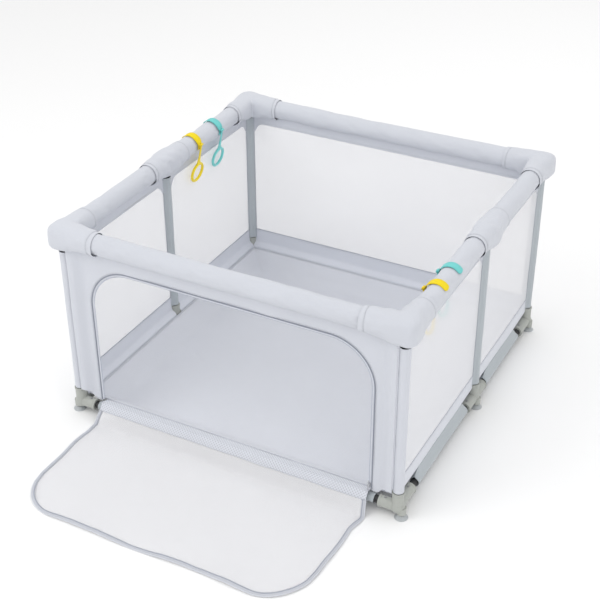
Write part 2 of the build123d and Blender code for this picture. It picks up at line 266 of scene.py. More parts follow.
def piece(name, surfaces, finish, body="frame", stands_for=(), thick=0.0, levels=0,
          offset=0.0):
    """One object made of one or more surfaces, riding on a body, or standing free when no body is given.
    """
    corners, faces, loops, count = [], [], [], 0
    for points, quads, quad_loops, rims, rim_loops in surfaces:
        corners.append(points)
        faces += (quads + count).tolist() + (rims + count).tolist()
        loops += [quad_loops.reshape(-1, 2), rim_loops.reshape(-1, 2)]
        count += len(points)
    mesh = bpy.data.meshes.new(name)
    mesh.from_pydata(np.concatenate(corners), [], faces)
    layer = mesh.uv_layers.new(name="cloth")
    layer.data.foreach_set("uv", np.concatenate(loops).astype(np.float32).ravel())
    mesh.materials.append(finish)
    mesh.shade_smooth()
    obj = bpy.data.objects.new(name, mesh)
    bpy.context.scene.collection.objects.link(obj)
    if thick:
        wall = obj.modifiers.new("Cloth thickness", "SOLIDIFY")
        wall.thickness, wall.offset = thick, offset
        crisp = obj.modifiers.new("Crisp rims", "WEIGHTED_NORMAL")
        crisp.weight = 60
    if levels:
        even = obj.modifiers.new("Even curve", "SUBSURF")
        even.levels = even.render_levels = levels
    if body:
        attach(obj, body)
    if stands_for:
        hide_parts(*stands_for)
    return obj


def tube_along(path, radius, sides, closed=False, caps=True, reference=UP):
    """Round bar swept along a path: each ring stands square to the path's own direction."""
    path = np.asarray(path, float)
    if closed:
        along = turned(np.roll(path, -1, 0) - np.roll(path, 1, 0))
    else:
        along = turned(np.gradient(path, axis=0))
    across = turned(np.cross(along, np.broadcast_to(reference, along.shape)))
    other = np.cross(along, across)
    angle = np.arange(sides) * FULL_TURN / sides
    radius = np.broadcast_to(radius, (len(path),))[:, None, None]
    points = path[:, None] + radius * (
        np.cos(angle)[None, :, None] * across[:, None] + np.sin(angle)[None, :, None] * other[:, None])
    step = np.r_[0, np.cumsum(np.linalg.norm(np.diff(path, axis=0), axis=1))]
    if closed:
        step = np.r_[step, step[-1] + np.linalg.norm(path[0] - path[-1])]
    around = np.arange(sides + 1) * FULL_TURN / sides * float(np.mean(radius))
    return surface(points, (closed, True), (step, around), caps and not closed)


def stitch_rows(paths, normals, length=0.0034, pitch=0.0048, width=0.0009, height=0.0006):
    """Small tapered lozenges set end to end along each path, standing on its normals."""
    template = np.array([(-0.5, 0, 0), (-0.2, -0.5, 0), (0.2, -0.5, 0), (0.5, 0, 0),
                         (0.2, 0.5, 0), (-0.2, 0.5, 0), (-0.2, 0, 1), (0.2, 0, 1)])
    template = template * np.array((length, width, height))
    sides = np.array([(0, 1, 6), (1, 2, 7), (1, 7, 6), (2, 3, 7), (3, 4, 7), (4, 5, 6),
                      (4, 6, 7), (5, 0, 6), (1, 0, 5), (1, 5, 2), (2, 5, 4), (2, 4, 3)])
    out = []
    for path, normal in zip(paths, normals):
        path = np.asarray(path, float)
        step = np.r_[0, np.cumsum(np.linalg.norm(np.diff(path, axis=0), axis=1))]
        marks = np.arange(pitch / 2, step[-1], pitch)
        if not len(marks):
            continue
        place = np.stack([np.interp(marks, step, path[:, k]) for k in range(3)], -1)
        ahead = np.stack([np.interp(marks + pitch / 4, step, path[:, k]) for k in range(3)], -1)
        behind = np.stack([np.interp(marks - pitch / 4, step, path[:, k]) for k in range(3)], -1)
        normal = np.broadcast_to(normal, path.shape)
        lift = turned(np.stack([np.interp(marks, step, normal[:, k]) for k in range(3)], -1))
        along = turned(ahead - behind)
        across = turned(np.cross(lift, along))
        points = (place[:, None] + template[None, :, :1] * along[:, None]
                  + template[None, :, 1:2] * across[:, None] + template[None, :, 2:] * lift[:, None])
        faces = (sides[None] + np.arange(len(marks))[:, None, None] * len(template)).reshape(-1, 3)
        out.append((points.reshape(-1, 3), np.zeros((0, 4), int), np.zeros((0, 4, 2)), faces,
                    np.zeros((len(faces), 3, 2))))
    return out


def inflate(obj, pinned, swell, slack=0.0, pressure=4.0):
    """Cloth simulation that pushes a sewn skin outwards, held at its pinned points.

    No point ends further than swell from where it started.
    """
    group = obj.vertex_groups.new(name="sewn")
    group.add(np.flatnonzero(pinned).tolist(), 1.0, "REPLACE")
    cloth = obj.modifiers.new("Stuffing", "CLOTH")
    options = cloth.settings
    options.quality = 5
    options.mass = 0.25
    options.tension_stiffness = options.compression_stiffness = 18
    options.shear_stiffness = 6
    options.bending_stiffness = 0.6
    options.vertex_group_mass = group.name
    options.use_pressure = True
    options.uniform_pressure_force = pressure
    options.shrink_min = options.shrink_max = -slack
    options.effector_weights.gravity = 0
    cloth.collision_settings.use_collision = False
    cloth.collision_settings.use_self_collision = False
    cloth.point_cache.frame_start, cloth.point_cache.frame_end = 1, 20
    others = [m for m in obj.modifiers if m != cloth]
    for other in others:
        other.show_viewport = False
    scene = bpy.context.scene
    before = np.empty(len(obj.data.vertices) * 3, np.float32)
    obj.data.vertices.foreach_get("co", before)
    for step in range(1, 21):
        scene.frame_set(step)
    shown = obj.evaluated_get(bpy.context.evaluated_depsgraph_get())
    after = np.empty_like(before)
    shown.data.vertices.foreach_get("co", after)
    moved = (after - before).reshape(-1, 3)
    size = np.linalg.norm(moved, axis=1, keepdims=True)
    moved *= np.minimum(1.0, swell / np.maximum(size, 1e-9))
    obj.modifiers.remove(cloth)
    obj.vertex_groups.remove(group)
    obj.data.vertices.foreach_set("co", before + moved.astype(np.float32).ravel())
    obj.data.update()
    for other in others:
        other.show_viewport = True
    scene.frame_set(1)


# ---------------------------------------------------------------- finishes
def node(tree, kind, inputs=None, **settings):
    """A shader node with its settings, its inputs either values or links."""
    made = tree.nodes.new("ShaderNode" + kind)
    for key, value in settings.items():
        setattr(made, key, value)
    for key, value in (inputs or {}).items():
        if isinstance(value, bpy.types.NodeSocket):
            tree.links.new(value, made.inputs[key])
        else:
            made.inputs[key].default_value = value
    return made


def blank(name, **sockets):
    """A material with one principled shader whose sockets hold plain values."""
    material = bpy.data.materials.new(name)
    material.use_nodes = True
    tree = material.node_tree
    shader = tree.nodes["Principled BSDF"]
    for key, value in sockets.items():
        shader.inputs[key.replace("_", " ").title().replace("Ior", "IOR")].default_value = value
    return material, tree, shader


def tint(tree, factor, low, high):
    """Colour that goes from low to high as the factor goes from 0 to 1."""
    mix = node(tree, "Mix", data_type="RGBA")
    tree.links.new(factor, mix.inputs[0])
    mix.inputs[6].default_value = (*low, 1)
    mix.inputs[7].default_value = (*high, 1)
    return mix.outputs[2]


def sum_of(tree, kind, a, b):
    """One number from two by a maths operation."""
    made = node(tree, "Math", operation=kind)
    for socket, value in zip(made.inputs, (a, b)):
        if isinstance(value, bpy.types.NodeSocket):
            tree.links.new(value, socket)
        else:
            socket.default_value = value
    return made.outputs[0]


def woven(name, colour, thread=0.0008, roughness=0.82, sheen=0.25, spread=0.05, relief=0.00022,
          puckers=0.0016, twill=0.0, groove=0.86):
    """Plain weave on the piece's own cloth coordinates.

    Warp and weft are two sets of waves a thread apart whose higher one shows, and the low ground between
    them is multiplied down to groove as painted shade. Broad noise shifts the shade, fine noise flecks the
    yarn, and a third noise puckers the surface.
    """
    material, tree, shader = blank(name, roughness=roughness)
    shader.inputs["Sheen Weight"].default_value = sheen
    shader.inputs["Sheen Roughness"].default_value = 0.5
    shader.inputs["Specular IOR Level"].default_value = 0.3
    place = node(tree, "TexCoord")
    cloth, solid = place.outputs["UV"], place.outputs["Object"]
    turned_cloth = node(tree, "Mapping", {"Vector": cloth, "Rotation": (0, 0, twill)}).outputs[0]
    scale = FULL_TURN / 20 / thread
    warp = node(tree, "TexWave", {"Vector": turned_cloth, "Scale": scale}, bands_direction="X")
    weft = node(tree, "TexWave", {"Vector": turned_cloth, "Scale": scale}, bands_direction="Y")
    yarn = sum_of(tree, "MAXIMUM", warp.outputs["Fac"], weft.outputs["Fac"])
    broad = node(tree, "TexNoise", {"Vector": solid, "Scale": 5.0, "Detail": 3.0})
    fleck = node(tree, "TexNoise", {"Vector": cloth, "Scale": 900.0, "Detail": 2.0})
    shade = sum_of(tree, "ADD", sum_of(tree, "MULTIPLY", broad.outputs["Fac"], 0.6),
                   sum_of(tree, "MULTIPLY", fleck.outputs["Fac"], 0.4))
    colour = np.array(colour)
    body = tint(tree, shade, colour * (1 - spread), np.minimum(colour * (1 + spread), 1))
    # Painted shade between the threads: where neither warp nor weft stands high, the colour is multiplied
    # down to groove.
    groove_shade = node(tree, "Mix", data_type="RGBA", blend_type="MULTIPLY")
    tree.links.new(body, groove_shade.inputs[6])
    tree.links.new(tint(tree, yarn, (groove,) * 3, (1, 1, 1)), groove_shade.inputs[7])
    groove_shade.inputs[0].default_value = 1.0
    tree.links.new(groove_shade.outputs[2], shader.inputs["Base Color"])
    pucker = node(tree, "TexNoise", {"Vector": solid, "Scale": 34.0, "Detail": 4.0,
                                     "Roughness": 0.55})
    soft = node(tree, "Bump", {"Height": pucker.outputs["Fac"], "Strength": 0.35,
                               "Distance": puckers})
    weave = node(tree, "Bump", {"Height": yarn, "Normal": soft.outputs[0], "Strength": 0.5,
                                "Distance": relief})
    tree.links.new(weave.outputs[0], shader.inputs["Normal"])
    return material


def netting(name, colour, cover, cell=0.0026, spread=0.03):
    """Warp-knitted net: three sets of waves a sixth of a turn apart cross in small round holes.

    The shader is opaque on the threads and clear in the holes, and the shade drifts a
    little with broad noise.
    """
    material, tree, shader = blank(name, roughness=0.75)
    shader.inputs["Sheen Weight"].default_value = 0.3
    shader.inputs["Specular IOR Level"].default_value = 0.25
    place = node(tree, "TexCoord")
    cloth, solid = place.outputs["UV"], place.outputs["Object"]
    scale = FULL_TURN / 20 / cell
    sets = []
    for turn in (0.0, math.pi / 3, -math.pi / 3):
        way = node(tree, "Mapping", {"Vector": cloth, "Rotation": (0, 0, turn)}).outputs[0]
        sets.append(node(tree, "TexWave", {"Vector": way, "Scale": scale}).outputs["Fac"])
    threads = sum_of(tree, "MAXIMUM", sum_of(tree, "MAXIMUM", sets[0], sets[1]), sets[2])
    broad = node(tree, "TexNoise", {"Vector": solid, "Scale": 3.0, "Detail": 2.0})
    colour = np.array(colour)
    body = tint(tree, broad.outputs["Fac"], colour * (1 - spread), np.minimum(colour * (1 + spread), 1))
    tree.links.new(body, shader.inputs["Base Color"])
    opaque = node(tree, "MapRange", {"Value": threads, "From Min": 0.30, "From Max": 0.98,
                                     "To Min": cover - 0.30, "To Max": min(cover + 0.16, 1.0)})
    tree.links.new(opaque.outputs[0], shader.inputs["Alpha"])
    bump = node(tree, "Bump", {"Height": threads, "Strength": 0.4, "Distance": 0.0003})
    tree.links.new(bump.outputs[0], shader.inputs["Normal"])
    return material


def moulded(name, colour, roughness=0.45, grain=900.0, spread=0.04, relief=0.00012, coat=0.0,
            scuffs=0.10):
    """Moulded plastic or paint: fine grain for the tool's texture, faint flow shading, light scuffs."""
    material, tree, shader = blank(name)
    shader.inputs["Coat Weight"].default_value = coat
    shader.inputs["Coat Roughness"].default_value = 0.2
    solid = node(tree, "TexCoord").outputs["Object"]
    flow = node(tree, "TexNoise", {"Vector": solid, "Scale": 22.0, "Detail": 3.0})
    fine = node(tree, "TexNoise", {"Vector": solid, "Scale": grain, "Detail": 2.0})
    scuff = node(tree, "TexNoise", {"Vector": solid, "Scale": 130.0, "Detail": 6.0,
                                    "Distortion": 1.2})
    colour = np.array(colour)
    body = tint(tree, flow.outputs["Fac"], colour * (1 - spread), np.minimum(colour * (1 + spread), 1))
    tree.links.new(body, shader.inputs["Base Color"])
    worn = node(tree, "MapRange", {"Value": scuff.outputs["Fac"], "From Min": 0.45, "From Max": 0.75,
                                   "To Min": roughness, "To Max": roughness + scuffs})
    tree.links.new(worn.outputs[0], shader.inputs["Roughness"])
    bump = node(tree, "Bump", {"Height": fine.outputs["Fac"], "Strength": 0.5, "Distance": relief})
    tree.links.new(bump.outputs[0], shader.inputs["Normal"])
    return material, shader


def make_finishes():
    """Every finish of the pen by name."""
    cloth = bpy.context.scene.play_pen_cloth
    rings = bpy.context.scene.play_pen_rings
    main, edging = np.array(cloth.cloth_colour), np.array(cloth.edging_colour)
    made = {
        "pad": woven("Pad cloth", main),
        "panel": woven("Panel cloth", main * 1.03, puckers=0.0010),
        # Painted light: the skirts' cloth is the pads' grey lifted by 1.14 to offset the shade the skirts
        # sit in.
        "skirt": woven("Skirt cloth with painted light", main * 1.14, puckers=0.0012),
        # Painted shade: the sleeves' cloth is the pads' grey darkened and tinted to stand in for the shade
        # on the posts and lower rails.
        "sleeve": woven("Sleeve cloth with painted shade", main * np.array((0.74, 0.78, 0.76)), puckers=0.0020),
        # Painted light: the floor cloth's grey is partly lifted to stand in for lamp light.
        "floor": woven("Floor cloth with painted light", cloth.floor_colour_with_painted_light, thread=0.0009, puckers=0.0030),
        "edging": woven("Edging tape", edging, thread=0.0006, relief=0.0003),
        "thread": woven("Stitching thread", main * 0.80, thread=0.0004, puckers=0.0002),
        # Painted light and shade: the sill webbing's grey is lifted by a tenth as painted highlight on its
        # twill, and groove=0.62 darkens the ground between its threads as painted shade.
        "apron": woven("Sill webbing with painted light and shade", main * 1.10, thread=0.0075, relief=0.0011, twill=math.pi / 4,
                       groove=0.62),
        "net": netting("Net", cloth.net_colour, cloth.net_cover),
        "tape": woven("Zip tape", main * 1.12, thread=0.0011, relief=0.0004),
        "binding": woven("Door binding", main * 0.95, thread=0.0008, relief=0.0004),
        "strap_yellow": woven("Yellow webbing", rings.front_colour, thread=0.0016, relief=0.0005,
                              sheen=0.1),
        "strap_teal": woven("Teal webbing", rings.rear_colour, thread=0.0016, relief=0.0005,
                            sheen=0.1),
    }
    made["connector"], _ = moulded("Connector plastic", (0.42, 0.435, 0.405), 0.42, spread=0.08)
    made["tube"], _ = moulded("Black powder coat", (0.018, 0.018, 0.020), 0.38, 1400.0,
                              relief=0.0002, spread=0.2)
    made["button"], steel = moulded("Button steel", (0.34, 0.34, 0.35), 0.30, 2000.0)
    steel.inputs["Metallic"].default_value = 1.0
    made["rubber"], cup = moulded("Suction rubber", (0.62, 0.65, 0.67), 0.28, 300.0, relief=0.0003)
    cup.inputs["Transmission Weight"].default_value = 0.30
    cup.inputs["IOR"].default_value = 1.42
    made["slider"], plated = moulded("Zip metal", (0.62, 0.63, 0.66), 0.24, 1800.0, spread=0.08)
    plated.inputs["Metallic"].default_value = 1.0
    made["coil"], _ = moulded("Zip coil", edging * 1.55, 0.35, 1500.0)
    made["ring_yellow"], _ = moulded("Yellow ring plastic", rings.front_colour, 0.32, 700.0, coat=0.3)
    made["ring_teal"], _ = moulded("Teal ring plastic", rings.rear_colour, 0.32, 700.0, coat=0.3)
    return made


finishes = {}


# ---------------------------------------------------------------- padded rails and covers
def span_frame(span):
    """Direction along and direction out of the pen for a stretch of its top rail."""
    first, second = (np.array(POST_AT[s]) for s in SPAN_ENDS[span])
    along = (second - first) / np.linalg.norm(second - first)
    out = np.array((along[1], -along[0]))
    if out @ (first + second) < 0:
        out = -out
    return along, out


def drop_section(angle, radius):
    """Points of a drop: a circle above, and below its two tangents that meet at the seam."""
    tip = radius * 1.14
    touch = math.acos(radius / tip)
    below = np.abs((angle + math.pi / 2 + math.pi) % FULL_TURN - math.pi)
    reach = np.where(below < touch, radius / np.cos(np.clip(touch - below, 0, 1.4)), radius)
    reach = np.minimum(reach, radius * 1.115)
    return reach * np.cos(angle), reach * np.sin(angle)


def rail_pad(span):
    """Foam tube in a sewn skin.

    The section is a drop: round above, and below drawn in along flat sides to a pinched
    seam, where the wall joins it. Long shallow folds run with the rail. The stuffing then
    swells the skin.
    """
    cloth = bpy.context.scene.play_pen_cloth
    facets = bpy.context.scene.play_pen_look.facets
    low, high = limits(f"rail_pad_{span}")
    along, out = span_frame(span)
    length = float((high - low)[:2].max())
    middle = (low + high)[:2] / 2
    s = np.linspace(-length / 2, length / 2, max(12, int(length / 0.011)))
    angle = np.arange(facets) * FULL_TURN / facets - math.pi / 2
    seam = np.exp(-(np.minimum(np.arange(facets), facets - np.arange(facets)) / 1.3) ** 2)
    n, z = drop_section(angle, PAD_RADIUS - 0.0006 - cloth.pad_swell * 0.6)
    along3, out3 = np.array((*along, 0.0)), np.array((*out, 0.0))
    points = (np.array((*middle, RAIL_Z)) + s[:, None, None] * along3
              + n[None, :, None] * out3 + z[None, :, None] * UP)
    away = n[:, None] * out3 + z[:, None] * UP
    away = away / np.linalg.norm(away, axis=1, keepdims=True)
    stretch = np.abs(along3) * 0.42 + np.abs(out3) * 0.030 + UP * 0.030
    folds = ripple(points, 11 + SPANS.index(span), stretch, 16)
    dents = ripple(points, 31 + SPANS.index(span), (0.11, 0.11, 0.09), 10)
    calm = (1 - seam)[None, :]
    points = points + (cloth.pad_wrinkle * (folds + 0.5 * dents) * calm)[..., None] * away
    around = np.arange(facets + 1) * FULL_TURN / facets * PAD_RADIUS
    pad = piece(f"rail_pad_skin_{span}", [surface(points, (False, True), (s, around), caps=True)],
                finishes["pad"], stands_for=[f"rail_pad_{span}"], levels=1)
    pinned = np.zeros(points.shape[:2], bool)
    pinned[[0, -1]] = True
    pinned[:, [0, 1, -1]] = True
    inflate(pad, np.r_[pinned.ravel(), True, True], cloth.pad_swell, slack=PAD_SLACK)


def cover_section(facets, distance, bend):
    """Section of a joint cover: the pad's drop at its hems, a soft box near the post.

    distance is from the nearest hem; bend is 0 along the arms and 1 at the post. The lower
    outer side bulges out and down there. At the hem the cloth below the pad's sides lifts
    off it, where the cover is closed over the rail.
    """
    angle = np.arange(facets) * FULL_TURN / facets - math.pi / 2
    round_n, round_z = drop_section(angle, 1.0)
    cosine, sine = np.cos(angle)[None], np.sin(angle)[None]
    power = 2 / 3.6
    box_n = 1.02 * np.sign(cosine) * np.abs(cosine) ** power
    box_z = 1.02 * np.sign(sine) * np.abs(sine) ** power
    mix = (0.20 * smooth(distance / 0.05) + 0.80 * bend)[:, None]
    wide = (PAD_RADIUS + 0.0016 + 0.0024 * smooth(distance / 0.03))[:, None]
    n = wide * (round_n[None] * (1 - mix) + box_n * mix)
    z = wide * (round_z[None] * (1 - mix) + box_z * mix)
    low_outer = smooth(-sine * 1.2 + 0.2) * smooth(cosine * 1.3 + 0.35)
    n = n + 0.0028 * low_outer * bend[:, None]
    z = z - 0.0030 * smooth(-sine * 1.5) * bend[:, None]
    turn = np.degrees(np.abs((angle + math.pi / 2 + math.pi) % FULL_TURN - math.pi))
    window = smooth((turn - 12) / 10) * (1 - smooth((turn - 66) / 16))
    lift = 1 + 0.105 * window[None] * np.exp(-(distance / 0.011) ** 1.5)[:, None]
    return n * lift, z * lift


def hem_profile(distance, share_height=0.00032):
    """Raised hem: a flat band a centimetre wide that ends in a sewn groove."""
    band = smooth((distance - 0.0002) / 0.0012) * (1 - smooth((distance - 0.0095) / 0.0012))
    groove = np.exp(-((distance - 0.0125) / 0.0016) ** 2)
    return share_height * band - 1.1 * share_height * groove


def corner_cover(corner):
    """Fitted cover over a corner joint, swept round the corner.

    For a side offset a, the path is straight, then an arc of radius R(a) centred at
    (a - R, a - R), then straight again; R grows from tight inside to broad outside.
    """
    facets = bpy.context.scene.play_pen_look.facets + 4
    x0, y0 = POST_AT[corner]
    way_x, way_y = np.sign(x0), np.sign(y0)
    node_name = f"corner_cover_{corner}"
    low, high = limits(node_name)
    inner_x = (low[0] if way_x > 0 else high[0])
    arm = abs(inner_x - x0)
    near = np.array((0, 0.0009, 0.0018, 0.0055, 0.0092, 0.0104, 0.0116, 0.0128, 0.0142, 0.017))
    arms = np.r_[near, np.linspace(0.026, arm - 0.030, 12)]
    bends = 13
    legs = len(arms)
    rows = np.arange(2 * legs + bends)
    nearness = np.r_[arms / arm, np.ones(bends), arms[::-1] / arm]
    bend = smooth((nearness * arm - (arm - 0.095)) / 0.06)
    distance = np.r_[arms, np.full(bends, 1.0), arms[::-1]]
    n, z = cover_section(facets, distance, bend)
    edge = hem_profile(distance)[:, None]
    size = np.hypot(n, z)
    n, z = n * (1 + edge / size), z * (1 + edge / size)
    turn = smooth((n + 0.044) / 0.088)
    bow = 0.008 + 0.019 * turn
    corner_at = n - bow
    t = np.clip((rows - legs + 0.5) / bends, 0, 1)[:, None] * (math.pi / 2)
    first_leg = (rows < legs)[:, None]
    last_leg = (rows >= legs + bends)[:, None]
    start = -arm + distance[:, None] * (arm + corner_at) / (arm - 0.026)
    start = np.where(first_leg | last_leg, start, 0)
    px = np.where(first_leg, start, np.where(last_leg, n, corner_at + bow * np.sin(t)))
    py = np.where(first_leg, n, np.where(last_leg, start, corner_at + bow * np.cos(t)))
    points = np.stack([x0 + way_x * px, y0 + way_y * py, np.broadcast_to(RAIL_Z + z, px.shape)], -1)
    seed = 60 + CORNERS.index(corner)
    centre = points.mean(1, keepdims=True)
    away = turned(points - centre)
    crumple = ripple(points, seed, (0.045, 0.045, 0.05), 14) * 0.0011
    crumple = crumple + ripple(points, seed + 9, (0.11, 0.11, 0.16), 8) * 0.0013
    points = points + (crumple * smooth(distance / 0.03)[:, None])[..., None] * away
    steps = np.linalg.norm(np.diff(points.mean(1), axis=0), axis=1)
    lengths = np.r_[0, np.cumsum(steps)]
    around = np.arange(facets + 1) * FULL_TURN / facets * PAD_RADIUS
    cover = piece(f"joint_cover_{corner}", [surface(points, (False, True), (lengths, around))],
                  finishes["pad"], stands_for=[node_name], thick=0.0016, levels=1,
                  offset=-1.0)
    pinned = np.zeros(points.shape[:2], bool)
    pinned[distance < 0.018] = True
    pinned[:, 0] = True
    inflate(cover, pinned.ravel(), COVER_SWELL, slack=COVER_SLACK, pressure=COVER_PRESSURE)
    sew_ring_hems(cover.name, points, HEM_ROWS)


def mid_cover(side):
    """Fitted cover over a middle joint: straight, with a pouch low on the outside round the post."""
    facets = bpy.context.scene.play_pen_look.facets + 4
    x0, y0 = POST_AT[f"mid_{side}"]
    way = np.sign(x0)
    low, high = limits(f"mid_cover_{side}")
    half = float(high[1] - low[1]) / 2
    near = np.array((0, 0.0009, 0.0018, 0.0055, 0.0092, 0.0104, 0.0116, 0.0128, 0.0142, 0.017))
    arms = np.r_[near, np.linspace(0.026, half, 14)]
    distance = np.r_[arms, arms[-2::-1]]
    s = np.r_[arms - half, half - arms[-2::-1]]
    bend = 0.75 * smooth((distance - (half - 0.060)) / 0.045)
    n, z = cover_section(facets, distance, bend)
    angle = np.arange(facets) * FULL_TURN / facets - math.pi / 2
    pouch = smooth(-np.sin(angle) * 1.4) * smooth(np.cos(angle) * 1.6 + 0.5)
    n = n + 0.0045 * pouch[None] * bend[:, None]
    z = z - 0.0040 * pouch[None] * bend[:, None]
    edge = hem_profile(distance)[:, None]
    size = np.hypot(n, z)
    n, z = n * (1 + edge / size), z * (1 + edge / size)
    points = np.stack([x0 + way * n, np.broadcast_to((y0 + s)[:, None], n.shape), RAIL_Z + z], -1)
    away = turned(points - points.mean(1, keepdims=True))
    seed = 80 + (side == "right")
    crumple = ripple(points, seed, (0.045, 0.05, 0.05), 14) * 0.0011
    crumple = crumple + ripple(points, seed + 9, (0.12, 0.12, 0.15), 8) * 0.0012
    points = points + (crumple * smooth(distance / 0.03)[:, None])[..., None] * away
    around = np.arange(facets + 1) * FULL_TURN / facets * PAD_RADIUS
    cover = piece(f"joint_cover_mid_{side}", [surface(points, (False, True), (s, around))],
                  finishes["pad"], stands_for=[f"mid_cover_{side}"], thick=0.0016,
                  levels=1, offset=-1.0)
    pinned = np.zeros(points.shape[:2], bool)
    pinned[distance < 0.018] = True
    pinned[:, 0] = True
    inflate(cover, pinned.ravel(), COVER_SWELL, slack=COVER_SLACK, pressure=COVER_PRESSURE)
    sew_ring_hems(cover.name, points, HEM_ROWS)


def sew_ring_hems(name, points, rows):
    """Two rows of stitches round each end of a cover, on the rows of its grid that carry the hem."""
    paths, normals = [], []
    for row in rows:
        ring = points[row]
        away = turned(ring - ring.mean(0))
        closed = np.r_[ring, ring[:1]]
        paths.append(closed + np.r_[away, away[:1]] * 0.0002)
        normals.append(np.r_[away, away[:1]])
    piece(f"{name}_stitching", stitch_rows(paths, normals), finishes["thread"])


# ---------------------------------------------------------------- walls
def wall_grid(span, z_low, z_high, columns, rows, seed=0, slack=0.0, lean=None, bend=0.0):
    """Upright sheet between two posts.

    Slack bellies it out most at the middle, with faint creases that fan from its corners.
    lean is how far each height stands inside the wall's plane. bend is the radius of the
    quarter circles by which the lower edge comes down at both posts.
    """
    low, high = limits("front_panel" if span == "front" else f"mesh_wall_{span}")
    along, out = span_frame(span)
    axis = int(np.argmax(np.abs(along)))
    start, end = low[axis], high[axis]
    plane = (low + high)[1 - axis] / 2
    t = np.linspace(0, 1, columns)
    z = np.linspace(z_low, z_high, rows)
    if bend:
        t = (0.5 - 0.5 * np.cos(math.pi * t)) * 0.35 + t * 0.65
    u, v = np.meshgrid(start + t * (end - start), z)
    if bend:
        over = np.clip(bend + 0.014 - np.minimum(u - start, end - u), 0, bend * 0.999)
        drop = bend - np.sqrt(bend ** 2 - over ** 2)
        v = v - drop * (z_high - v) / (z_high - z_low)
    points = np.zeros((*u.shape, 3))
    points[..., axis] = u
    points[..., 1 - axis] = plane
    points[..., 2] = v
    share = np.clip((v - z_low) / (z_high - z_low), 0, 1)
    belly = np.sin(math.pi * share) * np.sin(math.pi * (u - start) / (end - start)) ** 0.7
    creases = ripple(points, seed, (0.30, 0.30, 0.16), 14)
    shift = slack * belly * (0.4 + 1.1 * creases)
    if lean is not None:
        shift = shift - lean(v)
    out3 = np.array((*out, 0.0))
    points = points + shift[..., None] * out3
    return points, (z - z[0], t * (end - start)), out3


def mesh_wall(span):
    """Net with a cloth band above it and a cloth skirt below, each hemmed."""
    cloth = bpy.context.scene.play_pen_cloth
    low, high = limits(f"mesh_wall_{span}")
    node_name = f"mesh_wall_{span}"
    top = float(high[2])
    band_foot, skirt_top, skirt_foot = top - 0.037, 0.140, 0.0585
    length = float((high - low)[:2].max())
    seed = 100 + SPANS.index(span)
    columns = max(16, int(length / 0.016))

    def lean(z):
        return 0.0175 * smooth((0.086 - z) / 0.024)

    points, uv, out = wall_grid(span, skirt_top - 0.006, band_foot + 0.006, columns, 30, seed,
                                cloth.net_slack)
    net = piece(f"net_{span}", [surface(points, uv=uv, facing=out)], finishes["net"],
                stands_for=[node_name], thick=0.0005)
    points, uv, out = wall_grid(span, band_foot, top + 0.004, columns * 2, 9, seed + 10, 0.0012,
                                bend=0.036)
    edge = points[0]
    band = piece(f"wall_band_{span}", [surface(points, uv=uv, facing=out)], finishes["panel"],
                 stands_for=[node_name], thick=0.0012)
    points, uv, out = wall_grid(span, skirt_foot, skirt_top, columns, 18, seed + 20, 0.0012, lean)
    # Painted light: the skirt takes the lifted skirt cloth against the shade it sits in.
    skirt = piece(f"wall_skirt_{span}", [surface(points, uv=uv, facing=out)], finishes["skirt"],
                  stands_for=[node_name], thick=0.0012)
    row = points[-1]
    paths, normals = [], []
    for line, reach in ((edge, 0.0062), (row, -0.0062)):
        for side in (-1, 1):
            paths.append(line + UP * reach + out * 0.0009 * side)
            normals.append(out * side)
    piece(f"band_hem_{span}", [tube_along(edge, 0.0017, 6)], finishes["panel"])
    piece(f"skirt_piping_{span}", [tube_along(row - out * 0.0002, 0.0013, 6)],
          finishes["edging"])
    piece(f"wall_stitching_{span}", stitch_rows(paths, normals), finishes["thread"])


def arch_path(inset, foot, count=(26, 18, 40)):
    """Points, distances and outward directions along the doorway's arch.

    Two upright sides, two quarter arcs and a level top, all set in from the doorway's edge.
    """
    half, top, bend = DOORWAY_HALF - inset, DOORWAY_TOP - inset, DOORWAY_ROUND - inset
    spring = top - bend
    rise = np.linspace(foot, spring, count[0])[:-1]
    turn = np.linspace(0, math.pi / 2, count[1])[:-1]
    run = np.linspace(-(half - bend), half - bend, count[2])
    x = np.r_[np.full(len(rise), -half), -(half - bend) - bend * np.cos(turn), run]
    z = np.r_[rise, spring + bend * np.sin(turn), np.full(len(run), top)]
    nx = np.r_[np.full(len(rise), -1.0), -np.cos(turn), np.zeros(len(run))]
    nz = np.r_[np.zeros(len(rise)), np.sin(turn), np.ones(len(run))]
    back = slice(len(rise) + len(turn) - 1, None, -1)
    x, z = np.r_[x, -x[back]], np.r_[z, z[back]]
    nx, nz = np.r_[nx, -nx[back]], np.r_[nz, nz[back]]
    step = np.r_[0, np.cumsum(np.hypot(np.diff(x), np.diff(z)))]
    return x, z, step, nx, nz


